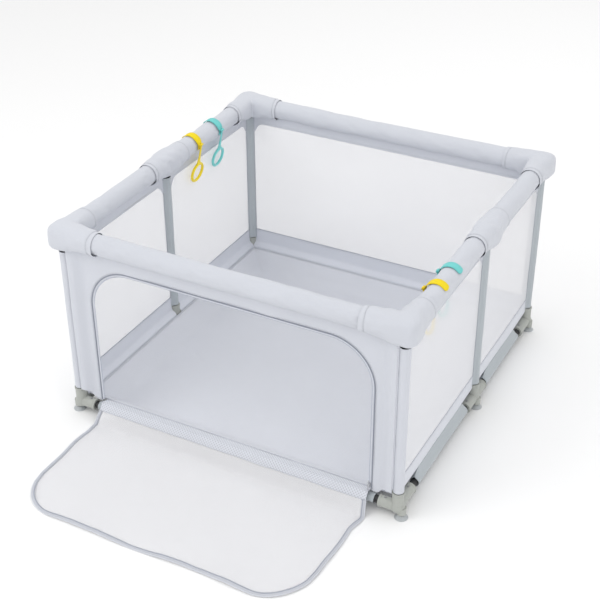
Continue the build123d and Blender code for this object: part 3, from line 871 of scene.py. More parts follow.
def front_cloth():
    """Front wall round the doorway, in two side strips and an arched top.

    Each point of the arch is carried along its own outward direction to the wall's straight
    outer edge, and the strip between the two is filled evenly.
    """
    low, high = limits("front_panel")
    edge_x, top, foot = float(high[0]), float(high[2]) + 0.004, float(low[2])
    plane = -HALF_Y
    x, z, step, nx, nz = arch_path(0.0, foot)
    spring = DOORWAY_TOP - DOORWAY_ROUND
    centre_x = np.clip(x, -(DOORWAY_HALF - DOORWAY_ROUND), DOORWAY_HALF - DOORWAY_ROUND)
    reach_x = np.where(np.abs(nx) > 1e-6, (edge_x - np.abs(centre_x)) / np.maximum(np.abs(nx), 1e-6), 9)
    reach_z = np.where(nz > 1e-6, (top - np.minimum(z, spring)) / np.maximum(nz, 1e-6), 9)
    reach = np.minimum(reach_x, reach_z)
    base_z = np.where(nz > 1e-6, spring, z)
    outer_x, outer_z = centre_x + nx * reach, base_z + nz * reach
    t = np.linspace(0, 1, 13)[:, None]
    grid_x, grid_z = x + (outer_x - x) * t, z + (outer_z - z) * t
    hem_rise = 0.032
    by_post = smooth((np.abs(grid_x) - (edge_x - 0.055)) / 0.030)
    grid_z = grid_z + hem_rise * by_post * np.clip(1 - (grid_z - foot) / 0.25, 0, 1)
    points = np.stack([grid_x, np.full(grid_x.shape, plane), grid_z], -1)
    soft = ripple(points, 140, (0.16, 0.16, 0.20), 14) * 0.0016
    soft = soft + ripple(points, 141, (0.045, 0.05, 0.09), 12) * 0.0004
    points[..., 1] -= soft * smooth(t / 0.12)
    points[..., 1] -= FRONT_SLEEVE_RADIUS * smooth((np.abs(grid_x) - (edge_x - 0.052)) / 0.040)
    width = np.hypot(outer_x - x, outer_z - z)
    u = np.broadcast_to(step, grid_x.shape)
    v = t * width
    parts = {
        "left": x < -(DOORWAY_HALF - 1e-5),
        "right": x > DOORWAY_HALF - 1e-5,
    }
    first_top = int(np.flatnonzero(parts["left"])[-1])
    last_top = int(np.flatnonzero(parts["right"])[0])
    cuts = {"left": slice(0, first_top + 1), "top": slice(first_top, last_top + 1),
            "right": slice(last_top, None)}
    for name, cut in cuts.items():
        strip = piece(f"front_cloth_{name}",
                      [surface(points[:, cut], uv=(v[:, cut], u[:, cut]),
                               facing=(0, -1, 0))],
                      finishes["panel"], stands_for=["front_panel"], thick=0.0014)
    paths, normals = [], []
    for inset in (-0.0035, -0.0065):
        px, pz, _, _, _ = arch_path(inset, foot)
        for side in (-1, 1):
            paths.append(np.stack([px, np.full(px.shape, plane + side * 0.0016), pz], -1))
            normals.append(np.array((0.0, side, 0.0)))
    for side in (-1, 1):
        hem = np.stack([np.linspace(side * DOORWAY_HALF, side * (edge_x - 0.045), 12),
                        np.full(12, plane - 0.0012), np.full(12, foot + 0.006)], -1)
        paths.append(hem)
        normals.append(np.array((0.0, -1.0, 0.0)))
    piece("front_stitching", stitch_rows(paths, normals), finishes["thread"])


def door_zip():
    """Half of the zip, sewn to the doorway's edge: tape, nylon coil and a corded edge."""
    door = bpy.context.scene.play_pen_door
    plane = -HALF_Y
    ribbons = []
    offsets = np.linspace(-0.001, door.tape_width - 0.0022, 6)
    rows = []
    for offset in offsets:
        x, z, step, nx, nz = arch_path(offset, ZIP_FOOT)
        rows.append(np.stack([x, np.full(x.shape, plane + 0.0002), z], -1))
    points = np.stack(rows)
    ribbons.append(surface(points, uv=(offsets - offsets[0], step), facing=(0, -1, 0)))
    tape = piece("zip_tape", ribbons, finishes["tape"], stands_for=["door_zip"],
                 thick=0.0009)
    tape["runs"] = "doorway edge"
    x, z, step, nx, nz = arch_path(door.tape_width - 0.0014, ZIP_FOOT)
    turns = int(step[-1] / door.coil_pitch)
    marks = np.linspace(0, step[-1], turns * 7)
    angle = marks / door.coil_pitch * FULL_TURN
    cx, cz = np.interp(marks, step, x), np.interp(marks, step, z)
    ox, oz = np.interp(marks, step, nx), np.interp(marks, step, nz)
    helix = np.stack([cx + ox * 0.0014 * np.cos(angle), plane + 0.0012 * np.sin(angle),
                      cz + oz * 0.0014 * np.cos(angle)], -1)
    reference = np.array((0.37, 0.81, 0.45))
    piece("zip_coil", [tube_along(helix, 0.00042, 5, reference=reference)], finishes["coil"],
          stands_for=["door_zip"])
    x, z, step, nx, nz = arch_path(-0.0008, ZIP_FOOT, (40, 26, 60))
    cord = np.stack([x, np.full(x.shape, plane - 0.0014), z], -1)
    piece("doorway_piping", [tube_along(cord, 0.0019, 8, reference=np.array((0.0, 1.0, 0.0)))],
          finishes["edging"])


# ---------------------------------------------------------------- sleeves
def cloth_sleeve(start, end, radius, seed, fins, fin_height=0.0042, tip=0.0):
    """Sewn tube round a bar: a circle with soft lengthwise folds and a fin for each seam.

    tip is how far above the bar's axis the cloth runs together, along the circle's tangents.
    """
    start, end = np.array(start, float), np.array(end, float)
    length = float(np.linalg.norm(end - start))
    along = (end - start) / length
    across = np.array((1.0, 0.0, 0.0)) if abs(along[2]) > 0.5 else UP
    other = np.cross(along, across)
    s = np.linspace(0, length, max(8, int(length / 0.012)))
    angle = np.arange(28) * FULL_TURN / 28
    angle = angle - (0.72 * np.sin(angle) if tip else 0)
    ring = np.cos(angle)[:, None] * across + np.sin(angle)[:, None] * other
    spread = np.full(28, radius)
    for fin in fins:
        nearness = np.clip(ring @ np.array(fin, float), -1, 1)
        spread = spread + fin_height * np.exp(-(np.arccos(nearness) / 0.17) ** 2)
    spread = np.broadcast_to(spread, (len(s), 28))
    if tip:
        near_end = np.minimum(s, length - s)[:, None]
        peak = radius * 1.12 + (tip - radius * 1.12) * smooth(near_end / 0.020)
        touch = np.arccos(radius / peak)
        above = np.arccos(np.clip(ring @ UP, -1, 1))[None]
        flat = radius / np.cos(np.clip(touch - above, 0, 1.5))
        spread = np.where(above < touch, np.minimum(flat, peak), spread)
    points = start + s[:, None, None] * along + spread[..., None] * ring[None]
    stretch = np.abs(along) * 0.20 + (1 - np.abs(along)) * 0.016
    folds = ripple(points, seed, stretch, 14) * 0.0006
    gather = np.cos(s / 0.017)[:, None] * 0.00025
    cuff = (np.exp(-(s / 0.004) ** 2) + np.exp(-((length - s) / 0.004) ** 2))[:, None] * 0.0008
    points = points + (folds + gather * 0.5 + cuff)[..., None] * ring[None]
    around = np.arange(29) * FULL_TURN / 28 * radius
    return surface(points, (False, True), (s, around)), length, points


def post_sleeve(station):
    """Cloth sleeve on a post, with a seam towards each wall."""
    low, high = limits("post_sleeves")
    x, y = POST_AT[station]
    fins = [(-np.sign(x), 0, 0), (0, -np.sign(y), 0)] if station in CORNERS else [(0, 1, 0), (0, -1, 0)]
    seed = 200 + STATIONS.index(station)
    at_front = station.startswith("front")
    if at_front:
        fins = fins[1:]
    radius = FRONT_SLEEVE_RADIUS if at_front else SLEEVE_RADIUS
    skin, length, _ = cloth_sleeve((x, y, low[2]), (x, y, high[2]), radius, seed, fins, 0.0078)
    # Painted shade: the front posts take the panel cloth, the rest the darkened sleeve cloth for the shade
    # they stand in.
    finish = finishes["panel" if at_front else "sleeve"]
    sleeve = piece(f"post_sleeve_{station}", [skin], finish,
                   stands_for=["post_sleeves"], thick=0.0009, offset=-1.0, levels=1)
    cords = []
    for fin in fins:
        way = np.array(fin, float)
        line = np.array((x, y, 0.0)) + way * 0.0232 + np.linspace(low[2], high[2], 40)[:, None] * UP
        cords.append(tube_along(line, 0.0010, 6, reference=np.array((0.6, 0.8, 0.0))))
    piece(f"post_seam_{station}", cords, finishes["edging"])


def rail_sleeve(span):
    """Cloth sleeve on a lower rail.

    On the sides and the back it runs together into the skirt above the rail. At the front it
    is a round sleeve with a small fin at its inner top, where the floor is sewn on.
    """
    low, high = limits(f"lower_tube_{span}")
    ends = sleeve_ends(span)
    along, out = span_frame(span)
    fin = np.array((*(-out * 0.85), 0.55))
    fin = fin / np.linalg.norm(fin)
    axis = int(np.argmax(np.abs(along)))
    start, end = np.zeros(3), np.zeros(3)
    start[axis], end[axis] = ends
    start[1 - axis] = end[1 - axis] = (low + high)[1 - axis] / 2
    start[2] = end[2] = LOWER_Z
    seed = 220 + SPANS.index(span)
    if span == "front":
        skin, length, _ = cloth_sleeve(start, end, 0.0147, seed, [fin])
    else:
        skin, length, _ = cloth_sleeve(start, end, 0.0158, seed, [], tip=0.044)
    # Painted shade: the lower rails take the darkened sleeve cloth.
    sleeve = piece(f"rail_sleeve_{span}", [skin], finishes["sleeve"],
                   stands_for=["rail_sleeves"], thick=0.0009, offset=-1.0, levels=1)


def sleeve_ends(span):
    """Where a lower rail's sleeve starts and stops along its own direction."""
    bare_at = {kind: CONNECTOR_ARM[kind] + BARE_TUBE[kind] for kind in CONNECTOR_ARM}
    first, second = (np.array(POST_AT[s]) for s in SPAN_ENDS[span])
    axis = int(np.argmax(np.abs(second - first)))
    kinds = ["tee" if s.startswith("mid") else ("corner_front" if axis == 0 else "corner_side")
             for s in SPAN_ENDS[span]]
    return first[axis] + bare_at[kinds[0]], second[axis] - bare_at[kinds[1]]


def floor_mat():
    """Padded floor: flat in the middle, its edges carried up in a soft slope to the lower rails.

    The height is the slope's S curve of the distance to the nearest edge, with shallow
    creases over the whole, and a lower layer a pad's thickness beneath closes it.
    """
    _, high = limits("floor_pad")
    half_x, half_y = float(high[0]), float(high[1])
    rim_z = float(high[2])
    fine = np.r_[np.linspace(0, 0.075, 12), np.linspace(0.085, 0.18, 9)]
    across = np.r_[fine, np.linspace(0.195, half_x, 28)]
    x = np.r_[-half_x + across, (half_x - across)[-2::-1]]
    y = np.r_[-half_y + across * half_y / half_x, (half_y - across * half_y / half_x)[-2::-1]]
    gx, gy = np.meshgrid(x, y, indexing="ij")
    edge = np.minimum(half_x - np.abs(gx), half_y - np.abs(gy))
    slope = 1 - smooth(edge / 0.092 + 0.03)
    height = rim_z * np.clip(slope, 0, 1) ** 1.15
    flat = np.stack([gx, gy, 0 * gx], -1)
    creases = ripple(flat, 300, (0.22, 0.17, 1.0), 16)
    fine_creases = ripple(flat, 301, (0.06, 0.05, 1.0), 16)
    soft = smooth((edge - 0.05) / 0.08)
    top = height + 0.0045 + (0.0016 * creases + 0.0005 * fine_creases) * (0.3 + 0.7 * soft)
    bottom = np.maximum(height - 0.0020, 0.0004)
    bottom = np.where(edge < 1e-6, top - 0.0012, bottom)
    upper = np.stack([gx, gy, top], -1)
    lower = np.stack([gx, gy, bottom], -1)
    reach = (x - x[0], y - y[0])
    rim = [(0, slice(None)), (-1, slice(None)), (slice(None), 0), (slice(None), -1)]
    outward = [(-1, 0, 0), (1, 0, 0), (0, -1, 0), (0, 1, 0)]
    closing = [surface(np.stack([upper[k], lower[k]], 0), facing=way) for k, way in zip(rim, outward)]
    # The floor cloth carries painted light in its lifted grey.
    mat = piece("floor_mat", [surface(upper, uv=reach, facing=(0, 0, 1)),
                              surface(lower, uv=reach, facing=(0, 0, -1))] + closing,
                finishes["floor"], stands_for=["floor_pad"])
    weld(mat)
    loop = np.concatenate([upper[:, 0], upper[-1, 1:], upper[-2::-1, -1], upper[0, -2:0:-1]])
    loop[:, 2] += 0.001
    piece("floor_piping", [tube_along(loop, 0.0019, 8, closed=True)], finishes["panel"])


def weld(obj):
    """Joins points that lie on each other, so that a closed skin has no open seam."""
    shape = bmesh.new()
    shape.from_mesh(obj.data)
    bmesh.ops.remove_doubles(shape, verts=shape.verts, dist=0.00002)
    shape.to_mesh(obj.data)
    shape.free()
    obj.data.update()


# ---------------------------------------------------------------- fold-down door
WEBBING_END = 0.50


def door_outline(t):
    """How far the flap reaches from its crease at each share t of its half width."""
    half, length = float(FLAP[1][0]), CREASE[1] - float(FLAP[0][1]) - 0.018
    bend = DOORWAY_ROUND + 0.003
    over = np.clip(np.abs(t) * half - (half - bend), 0, bend)
    return length - bend + np.sqrt(np.maximum(bend ** 2 - over ** 2, 0))


def flap_points(across, share, seed=400):
    """Flap on the floor: across runs over its width, share from its crease to its free edge.

    The cloth slips a little to the left as it goes out, its edges wander, and low ripples
    lift it off the floor near them.
    """
    door = bpy.context.scene.play_pen_door
    half = float(FLAP[1][0])
    reach = door_outline(across)
    gx = across * half
    gy = CREASE[1] - share * reach
    flat = np.stack(np.broadcast_arrays(gx, gy, 0 * gx), -1)
    wander = ripple(flat, seed, (0.26, 0.19, 1.0), 10)
    side = smooth((np.abs(across) - 0.35) / 0.65)
    out = smooth(share / 0.25)
    shift = (-0.006 * out - 0.0040 * wander * side) * out
    pull = 0.006 * ripple(flat, seed + 1, (0.33, 0.33, 1.0), 8) * smooth((share - 0.5) / 0.5)
    margin = 0.006 * out * side
    x = gx + shift - np.sign(across) * margin
    y = gy + pull
    edge = np.minimum((1 - np.abs(across)) * half, (1 - share) * reach)
    near = np.exp(-np.maximum(edge, 0) / 0.09)
    waves = 0.5 + 0.5 * ripple(flat, seed + 2, (0.17, 0.15, 1.0), 14)
    low_waves = 0.5 + 0.5 * ripple(flat, seed + 3, (0.07, 0.06, 1.0), 14)
    z = 0.0016 + smooth(share / 0.12) * (door.ripple * waves * (0.22 + 0.9 * near)
                                         + 0.0012 * low_waves)
    return np.stack(np.broadcast_arrays(x, y, z), -1)


def door_flap():
    """Net door with a bound edge and its half of the zip.

    The net starts under the webbing on the sill, runs down to the crease and lies out from there.
    """
    door = bpy.context.scene.play_pen_door
    half = float(FLAP[1][0])
    across = np.linspace(-1, 1, 97)
    share = np.r_[np.linspace(0, 0.06, 5), np.linspace(0.075, 1, 44)]
    g, h = np.meshgrid(across, share)
    reach = door_outline(across)
    climb = np.linspace(0, 1, 8)[:-1]
    side, rise = np.meshgrid(across, climb)
    flap = flap_points(g, h)
    apron, length = sill_points(side * half, WEBBING_END - 0.03 + rise * (0.93 - WEBBING_END))
    apron[..., 0] *= 1 - 0.018 * (1 - rise)
    apron[..., 2] += (flap[0, :, 2] - apron[..., 2]) * rise ** 4 - 0.0012
    points = np.concatenate([apron, flap])
    down = np.concatenate([(rise - 1) * length * (0.96 - WEBBING_END), h * reach[None]])
    uv = (down, np.concatenate([side, g]) * half)
    net = piece("door_net", [surface(points, uv=uv, facing=(0, 0, 1))], finishes["door_net"],
                body=None, stands_for=["door_flap", "door_apron"], thick=0.0006)
    edge_across = np.r_[np.full(40, -1.0), np.linspace(-1, 1, 160)[1:-1], np.full(40, 1.0)]
    edge_share = np.r_[np.linspace(0, 1, 40), np.ones(158), np.linspace(1, 0, 40)]
    edge = flap_points(edge_across, edge_share)
    edge = np.concatenate([apron[:, 0], edge, apron[::-1, -1]])
    along = turned(np.gradient(edge, axis=0))
    above = turned(np.array((0.0, -1.0, 1.0)) * smooth(edge[:, 2:] / 0.01) + UP)
    inward = turned(np.cross(above, along))
    if ((inward * (np.array((0.0, -0.85, 0.0)) - edge)).sum()) < 0:
        inward = -inward
    width = door.binding_width
    section = np.array(((0.0, 0.0), (0.0, 0.0012), (0.0012, 0.0019), (0.35 * width, 0.0017),
                        (0.75 * width, 0.0017), (width, 0.0015), (width, -0.0002),
                        (0.5 * width, -0.0006), (0.0012, -0.0008)))
    ring = (edge[:, None] + section[None, :, :1] * inward[:, None]
            + section[None, :, 1:] * above[:, None])
    steps = np.r_[0, np.cumsum(np.linalg.norm(np.diff(edge, axis=0), axis=1))]
    binding = piece("door_binding", [surface(ring, (False, True), (steps, np.arange(10) * 0.003),
                                             caps=True)],
                    finishes["binding"], body=None)
    cord = edge - inward * 0.0006 + above * 0.0006
    piping = piece("door_piping", [tube_along(cord, 0.0015, 6)], finishes["tape"],
                   body=None)
    coil_line = edge + inward * width * 0.72 + above * 0.0022
    step = np.r_[0, np.cumsum(np.linalg.norm(np.diff(coil_line, axis=0), axis=1))]
    marks = np.linspace(0, step[-1], int(step[-1] / door.coil_pitch) * 6)
    line = np.stack([np.interp(marks, step, coil_line[:, k]) for k in range(3)], -1)
    inner = np.stack([np.interp(marks, step, inward[:, k]) for k in range(3)], -1)
    angle = (marks / door.coil_pitch * FULL_TURN)[:, None]
    helix = line + inner * 0.0013 * np.cos(angle) + UP * 0.0007 * np.sin(angle)
    coil = piece("door_coil", [tube_along(helix, 0.0004, 4, reference=np.array((0.37, 0.45, 0.81)))],
                 finishes["coil"], body=None)
    rows = [edge + inward * (width - 0.0018) + above * 0.0019, edge + inward * 0.0028 + above * 0.0018]
    stitching = piece("door_stitching", stitch_rows(rows, [above, above]), finishes["thread"],
                      body=None)
    for part in (net, binding, piping, coil, stitching):
        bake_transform(part)


def sill_points(x, share):
    """Door's slope: over the lower rail from the floor's edge, down to the crease and a little on."""
    path = np.array(((-HALF_Y + 0.0200, 0.0600), (-HALF_Y + 0.0130, 0.0625), (-HALF_Y, 0.0655),
                     (-HALF_Y - 0.0080, 0.0685), (HINGE[1], 0.0680), (HINGE[1] - 0.0070, 0.0600),
                     (HINGE[1] - 0.0200, 0.0400), (CREASE[1] + 0.0110, 0.0170),
                     (CREASE[1] + 0.0010, 0.0045), (CREASE[1] - 0.0120, 0.0034)))
    step = np.r_[0, np.cumsum(np.linalg.norm(np.diff(path, axis=0), axis=1))]
    even = np.linspace(0, step[-1], 200)
    kernel = np.hanning(13) / np.hanning(13).sum()
    smoothed = []
    for k in range(2):
        raw = np.interp(even, step, path[:, k])
        smoothed.append(np.convolve(np.pad(raw, 6, "edge"), kernel, "valid"))
    y = np.interp(share, even / step[-1], smoothed[0])
    z = np.interp(share, even / step[-1], smoothed[1])
    return np.stack(np.broadcast_arrays(x, y, z), -1), float(step[-1])


def door_sill():
    """Ribbed webbing strip that joins the floor's edge to the door's net."""
    half = float(SILL[1][0]) - 0.001
    x = np.linspace(-half, half, 121)
    share = np.linspace(0, WEBBING_END, 21)
    g, h = np.meshgrid(x, share)
    points, length = sill_points(g, h)
    ends = smooth((half - np.abs(g)) / 0.03)
    sag = ripple(points, 430, (0.10, 0.2, 0.2), 12) * 0.0009 * smooth(h / 0.3) * ends
    points[..., 1] -= sag
    points[..., 2] += np.abs(sag) * 0.4
    # The sill webbing carries painted highlight and painted shade in its twill.
    strip = piece("door_sill", [surface(points, uv=(h * length, g), facing=(0, -1, 1))],
                  finishes["apron"], body=None, stands_for=["door_apron"],
                  thick=0.0014)
    rows, lifts = [], []
    for at in (0.26, WEBBING_END - 0.020):
        row, _ = sill_points(x, np.full(x.shape, at))
        ahead, _ = sill_points(x, np.full(x.shape, at + 0.02))
        lift = turned(np.cross(np.array((1.0, 0.0, 0.0)), ahead - row))
        lift = lift * np.sign(lift[:, 2:])
        rows.append(row + lift * 0.0012)
        lifts.append(lift)
    stitching = piece("sill_stitching", stitch_rows(rows, lifts, 0.0060, 0.0095, 0.0018),
                      finishes["tape"], body=None)
    for part in (strip, stitching):
        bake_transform(part)


# ---------------------------------------------------------------- pull rings
def pull_ring(place):
    """Webbing strap over the padded rail, two small loops that hold a pin, and the ring on it.

    The strap runs from low on the rail's inner side over the top to a rounded end outside.
    """
    rings = bpy.context.scene.play_pen_rings
    colour = "yellow" if place.endswith("front") else "teal"
    low, high = limits(f"pull_ring_{place}")
    side = -1 if place.startswith("left") else 1
    y = float(low[1] + high[1]) / 2
    rail = np.array((side * HALF_X, y, RAIL_Z))
    inward = np.array((-side, 0.0, 0.0))
    pin = rail + inward * PIN_INSIDE + UP * PIN_ABOVE
    sideways = np.array((0.0, 1.0, 0.0))
    turn = np.radians(np.linspace(-22.5, 150.5, 76))
    ways = np.cos(turn)[:, None] * inward + np.sin(turn)[:, None] * UP
    width = rings.strap_inside + (rings.strap_top - rings.strap_inside) * smooth(
        (np.sin(turn) + 0.05) / 0.75) * (turn < 2) + (rings.strap_top - rings.strap_inside) * (turn >= 2)
    left = (turn[-1] - turn) * PAD_RADIUS
    rounded = np.sqrt(np.clip(1 - (1 - np.clip(left / 0.009, 0, 1)) ** 2.4, 0.10, 1))
    reach = PAD_RADIUS + 0.0019 + 0.0003 * np.sin(5 * turn)
    t = np.linspace(-0.5, 0.5, 9)
    crown = 0.0005 * (1 - (2 * np.abs(t)) ** 6)
    points = (rail + (reach[:, None] + crown[None])[..., None] * ways[:, None]
              + ((width * rounded)[:, None] * t[None])[..., None] * sideways)
    uv = (turn * PAD_RADIUS, (t + 0.5) * rings.strap_top)
    piece(f"ring_strap_web_{place}", [surface(points, uv=uv, facing=UP)],
          finishes[f"strap_{colour}"], stands_for=[f"ring_strap_{place}"],
          thick=0.0012, offset=-1.0)
    on_rail = [rail + (PAD_RADIUS + 0.0022) * (math.cos(a) * inward + math.sin(a) * UP)
               for a in (0.33, -0.16)]
    over = math.pi * (1.15 - 1.3 * np.linspace(0, 1, 26)) - math.pi / 2
    bend = pin + 0.0022 * (np.cos(over)[:, None] * inward + np.sin(over)[:, None] * UP)
    run = np.linspace(0, 1, 8)[:, None]
    path = np.concatenate([on_rail[0] + (bend[-1] - on_rail[0]) * run[:-1], bend[::-1],
                           bend[0] + (on_rail[1] - bend[0]) * run[1:]])
    loops = []
    for way in (-1, 1):
        strip = np.linspace(0.0053, 0.0103, 4) * way
        grid = path[:, None] + strip[None, :, None] * sideways
        loops.append(surface(grid, facing=inward))
    piece(f"ring_loop_{place}", loops, finishes[f"strap_{colour}"], thick=0.0010)
    peg = pin + np.linspace(-0.0112, 0.0112, 9)[:, None] * sideways
    taper = np.array((0.0011, *np.full(7, 0.0015), 0.0011))
    piece(f"ring_pin_{place}", [tube_along(peg, taper, 14)], finishes["tube"])
    paths, normals = [], []
    for edge in (-1, 1):
        arc = slice(2, 70)
        paths.append(points[arc, 4] + (edge * (width[arc] / 2 - 0.0028))[:, None] * sideways
                     + ways[arc] * 0.0002)
        normals.append(ways[arc])
    piece(f"ring_stitching_{place}", stitch_rows(paths, normals), finishes[f"strap_{colour}"])
    hang_ring(place, colour, pin, side)


def hang_ring(place, colour, pin, side):
    """Moulded ring: a hoop, a stem that flares into it, and the eye on the pin.

    It is laid out straight below the pin and then turned about it, to lean on the wall.
    """
    radius, bar, drop, lean = 0.0345, 0.0054, 0.117, math.radians(12)
    turn = np.arange(96) * FULL_TURN / 96
    section = np.arange(18) * FULL_TURN / 18
    sideways, flat = np.array((0.0, 1.0, 0.0)), np.array((1.0, 0.0, 0.0))
    ways = np.cos(turn)[:, None] * sideways + np.sin(turn)[:, None] * UP
    swell = bar * (1 + 0.06 * np.exp(-((turn - math.pi / 2) / 0.5) ** 2))
    hoop = (-drop * UP + (radius + swell[:, None] * np.cos(section)[None])[..., None] * ways[:, None]
            + (swell[:, None] * 0.94 * np.sin(section)[None])[..., None] * flat)
    s = np.linspace(0, 1, 22)
    foot, head = -drop + radius + bar * 0.2, -0.0034
    flare = np.exp(-s / 0.16)
    half_width = 0.0050 + 0.0110 * flare
    half_depth = 0.0023 + 0.0014 * flare
    power = 2 / 3.2
    shape_y = np.sign(np.cos(section)) * np.abs(np.cos(section)) ** power
    shape_x = np.sign(np.sin(section)) * np.abs(np.sin(section)) ** power
    over = half_width[:, None] * shape_y
    sink = radius - np.sqrt(np.maximum(radius ** 2 - over ** 2, 0))
    stem = np.stack([half_depth[:, None] * shape_x, over,
                     (foot + (head - foot) * s)[:, None] - sink * flare[:, None]], -1)
    hole, shell, depth = 0.00172, 0.0042, 0.0044
    profile = np.array(((hole, -depth), (hole, depth), (shell - 0.0006, depth),
                        (shell, depth - 0.0006), (shell, -depth + 0.0006), (shell - 0.0006, -depth)))
    around = np.arange(40) * FULL_TURN / 40
    spin = np.cos(around)[:, None] * flat + np.sin(around)[:, None] * UP
    eye = profile[None, :, :1] * spin[:, None] + profile[None, :, 1:] * sideways
    lean_over = np.array(((math.cos(lean), 0.0, -side * math.sin(lean)), (0.0, 1.0, 0.0),
                          (side * math.sin(lean), 0.0, math.cos(lean))))
    parts = [surface(pin + hoop @ lean_over.T, (True, True)),
             surface(pin + stem @ lean_over.T, (False, True), caps=True),
             surface(pin + eye @ lean_over.T, (True, True))]
    piece(f"pull_ring_hoop_{place}", parts, finishes[f"ring_{colour}"],
          body=f"pull_ring_{place}", stands_for=[f"pull_ring_{place}"])


# ---------------------------------------------------------------- operators
class PLAYPEN_OT_finishes(bpy.types.Operator):
    """Makes every finish and puts them on the tubes, connectors, buttons, feet and zip slider"""

    bl_idname = "play_pen.finishes"
    bl_label = "Finishes"

    def execute(self, context):
        finishes.update(make_finishes())
        cloth = context.scene.play_pen_cloth
        finishes["door_net"] = netting("Door net", np.array(cloth.net_colour) * 1.04,
                                       min(cloth.net_cover + 0.12, 0.95), spread=0.02)
        by_start = {
            "lower_corner": "connector", "lower_tee": "connector", "upper_corners": "connector",
            # the CAD post sleeves take the sleeve cloth, darkened as painted shade
            "upper_tees": "connector", "post_sleeves": "sleeve", "post_": "tube",
            "lower_tube": "tube", "upper_tubes": "tube", "snap_buttons": "button",
            "suction_feet": "rubber", "zip_": "slider",
        }
        for name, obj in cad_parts.items():
            for start, finish in by_start.items():
                if name.startswith(start):
                    for place in obj.material_slots:
                        place.material = finishes[finish]
                    break
        return {"FINISHED"}


class PLAYPEN_OT_rail_pads(bpy.types.Operator):
    """Sews a foam-filled skin round each top rail"""

    bl_idname = "play_pen.rail_pads"
    bl_label = "Rail pads"

    def execute(self, context):
        for span in SPANS:
            rail_pad(span)
        return {"FINISHED"}


class PLAYPEN_OT_joint_covers(bpy.types.Operator):
    """Fits a sewn cover over every top joint"""

    bl_idname = "play_pen.joint_covers"
    bl_label = "Joint covers"

    def execute(self, context):
        for corner in CORNERS:
            corner_cover(corner)
        for side in ("left", "right"):
            mid_cover(side)
        return {"FINISHED"}


class PLAYPEN_OT_walls(bpy.types.Operator):
    """Hangs the net walls and the cloth round the doorway"""

    bl_idname = "play_pen.walls"
    bl_label = "Walls"

    def execute(self, context):
        for span in SPANS[1:]:
            mesh_wall(span)
        front_cloth()
        return {"FINISHED"}


class PLAYPEN_OT_zip(bpy.types.Operator):
    """Sews the zip round the doorway"""

    bl_idname = "play_pen.zip"
    bl_label = "Doorway zip"

    def execute(self, context):
        door_zip()
        return {"FINISHED"}


class PLAYPEN_OT_sleeves(bpy.types.Operator):
    """Pulls cloth sleeves over the posts and the lower rails"""

    bl_idname = "play_pen.sleeves"
    bl_label = "Sleeves"

    def execute(self, context):
        for station in STATIONS:
            post_sleeve(station)
        for span in SPANS:
            rail_sleeve(span)
        return {"FINISHED"}


class PLAYPEN_OT_floor(bpy.types.Operator):
    """Lays the padded floor and its piping"""

    bl_idname = "play_pen.floor"
    bl_label = "Floor mat"

    def execute(self, context):
        floor_mat()
        return {"FINISHED"}


class PLAYPEN_OT_door(bpy.types.Operator):
    """Makes the fold-down door and the sill strip it hangs from"""

    bl_idname = "play_pen.door"
    bl_label = "Door"

    def execute(self, context):
        door_flap()
        door_sill()
        return {"FINISHED"}


class PLAYPEN_OT_rings(bpy.types.Operator):
    """Straps a pull ring to each of its four places"""

    bl_idname = "play_pen.rings"
    bl_label = "Pull rings"

    def execute(self, context):
        for place in ("left_front", "left_rear", "right_front", "right_rear"):
            pull_ring(place)
        return {"FINISHED"}


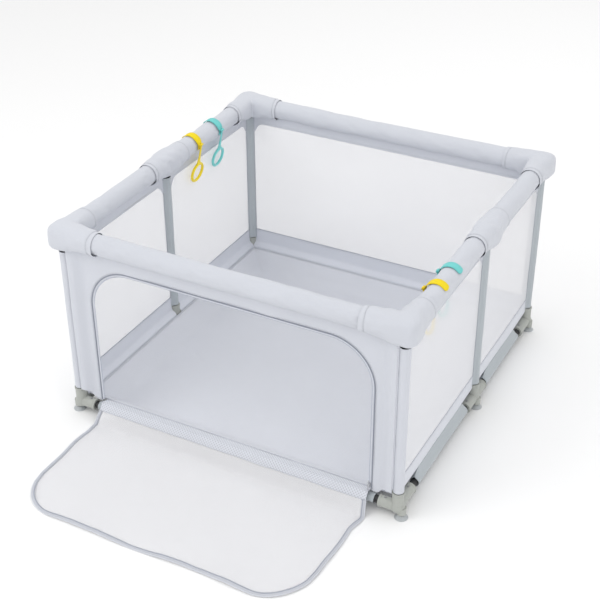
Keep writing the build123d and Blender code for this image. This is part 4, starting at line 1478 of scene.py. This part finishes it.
class PLAYPEN_OT_stage(bpy.types.Operator):
    """Sets the pale floor, the soft lights and the camera"""

    bl_idname = "play_pen.stage"
    bl_label = "Stage"

    def execute(self, context):
        scene = context.scene
        look = scene.play_pen_look
        scene.view_settings.view_transform = "Standard"
        material, tree, shader = blank("Studio floor", roughness=0.9)
        solid = node(tree, "TexCoord").outputs["Object"]
        drift = node(tree, "TexNoise", {"Vector": solid, "Scale": 0.6, "Detail": 2.0})
        tree.links.new(tint(tree, drift.outputs["Fac"], (0.985, 0.985, 0.985), (1, 1, 1)),
                       shader.inputs["Base Color"])
        shader.inputs["Specular IOR Level"].default_value = 0.1
        reach = np.linspace(-30, 30, 9)
        gx, gy = np.meshgrid(reach, reach)
        ground = np.stack([gx, gy, np.full(gx.shape, -0.0002)], -1)
        corners, quads, _, _, _ = surface(ground, facing=(0, 0, 1))
        mesh = bpy.data.meshes.new("studio_floor")
        mesh.from_pydata(corners, [], quads.tolist())
        mesh.materials.append(material)
        floor = bpy.data.objects.new("studio_floor", mesh)
        scene.collection.objects.link(floor)
        world = bpy.data.worlds.new("Studio")
        world.use_nodes = True
        sky = world.node_tree.nodes["Background"]
        sky.inputs["Color"].default_value = (1.0, 1.0, 1.0, 1)
        sky.inputs["Strength"].default_value = look.sky
        scene.world = world
        lamps = (
            ("top", (0.0, 0.0, 4.5), 4.0, 22.0),
            ("key", (-2.6, -3.4, 4.2), 3.6, 66.0),
            ("fill", (3.8, -2.2, 2.6), 3.2, 22.0),
            ("back", (0.5, 4.2, 3.6), 3.0, 20.0),
        )
        for name, place, size, power in lamps:
            data = bpy.data.lights.new(name, "AREA")
            data.shape, data.size, data.energy = "DISK", size, power
            lamp = bpy.data.objects.new(name, data)
            lamp.location = place
            lamp.rotation_euler = (Vector((0, 0, 0.3)) - Vector(place)).to_track_quat(
                "-Z", "Y").to_euler()
            scene.collection.objects.link(lamp)
        data = bpy.data.cameras.new("camera")
        data.lens, data.sensor_width = 74.4, 36.0
        data.clip_end = 200
        camera = bpy.data.objects.new("camera", data)
        turn = (Matrix.Rotation(math.radians(27.86), 3, "Z")
                @ Matrix.Rotation(math.radians(58.01), 3, "X")
                @ Matrix.Rotation(math.radians(-0.24), 3, "Z"))
        camera.matrix_world = Matrix.Translation((1.686, -3.297, 2.599)) @ turn.to_4x4()
        scene.collection.objects.link(camera)
        scene.camera = camera
        return {"FINISHED"}


STEPS = (PLAYPEN_OT_finishes, PLAYPEN_OT_rail_pads, PLAYPEN_OT_joint_covers, PLAYPEN_OT_walls,
         PLAYPEN_OT_zip, PLAYPEN_OT_sleeves, PLAYPEN_OT_floor, PLAYPEN_OT_door, PLAYPEN_OT_rings,
         PLAYPEN_OT_stage)


class PLAYPEN_PT_sidebar(bpy.types.Panel):
    """Lists the steps that build the play pen, in order"""

    bl_idname = "PLAYPEN_PT_sidebar"
    bl_label = "Play Pen"
    bl_space_type = "VIEW_3D"
    bl_region_type = "UI"
    bl_category = "Play Pen"

    def draw(self, context):
        for step in STEPS:
            self.layout.operator(step.bl_idname)


GROUPS = {
    "play_pen_cloth": PlayPenCloth,
    "play_pen_door": PlayPenDoor,
    "play_pen_rings": PlayPenRings,
    "play_pen_look": PlayPenLook,
}


def register():
    for group in GROUPS.values():
        bpy.utils.register_class(group)
    for name, group in GROUPS.items():
        setattr(bpy.types.Scene, name, PointerProperty(type=group))
    for step in (*STEPS, PLAYPEN_PT_sidebar):
        bpy.utils.register_class(step)


def unregister():
    for step in reversed((*STEPS, PLAYPEN_PT_sidebar)):
        bpy.utils.unregister_class(step)
    for name in GROUPS:
        delattr(bpy.types.Scene, name)
    for group in reversed(tuple(GROUPS.values())):
        bpy.utils.unregister_class(group)


def main():
    register()
    for step in ("finishes", "rail_pads", "joint_covers", "walls", "zip", "sleeves", "floor",
                 "door", "rings", "stage"):
        getattr(bpy.ops.play_pen, step)()
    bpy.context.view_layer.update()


if __name__ == "__main__":
    main()
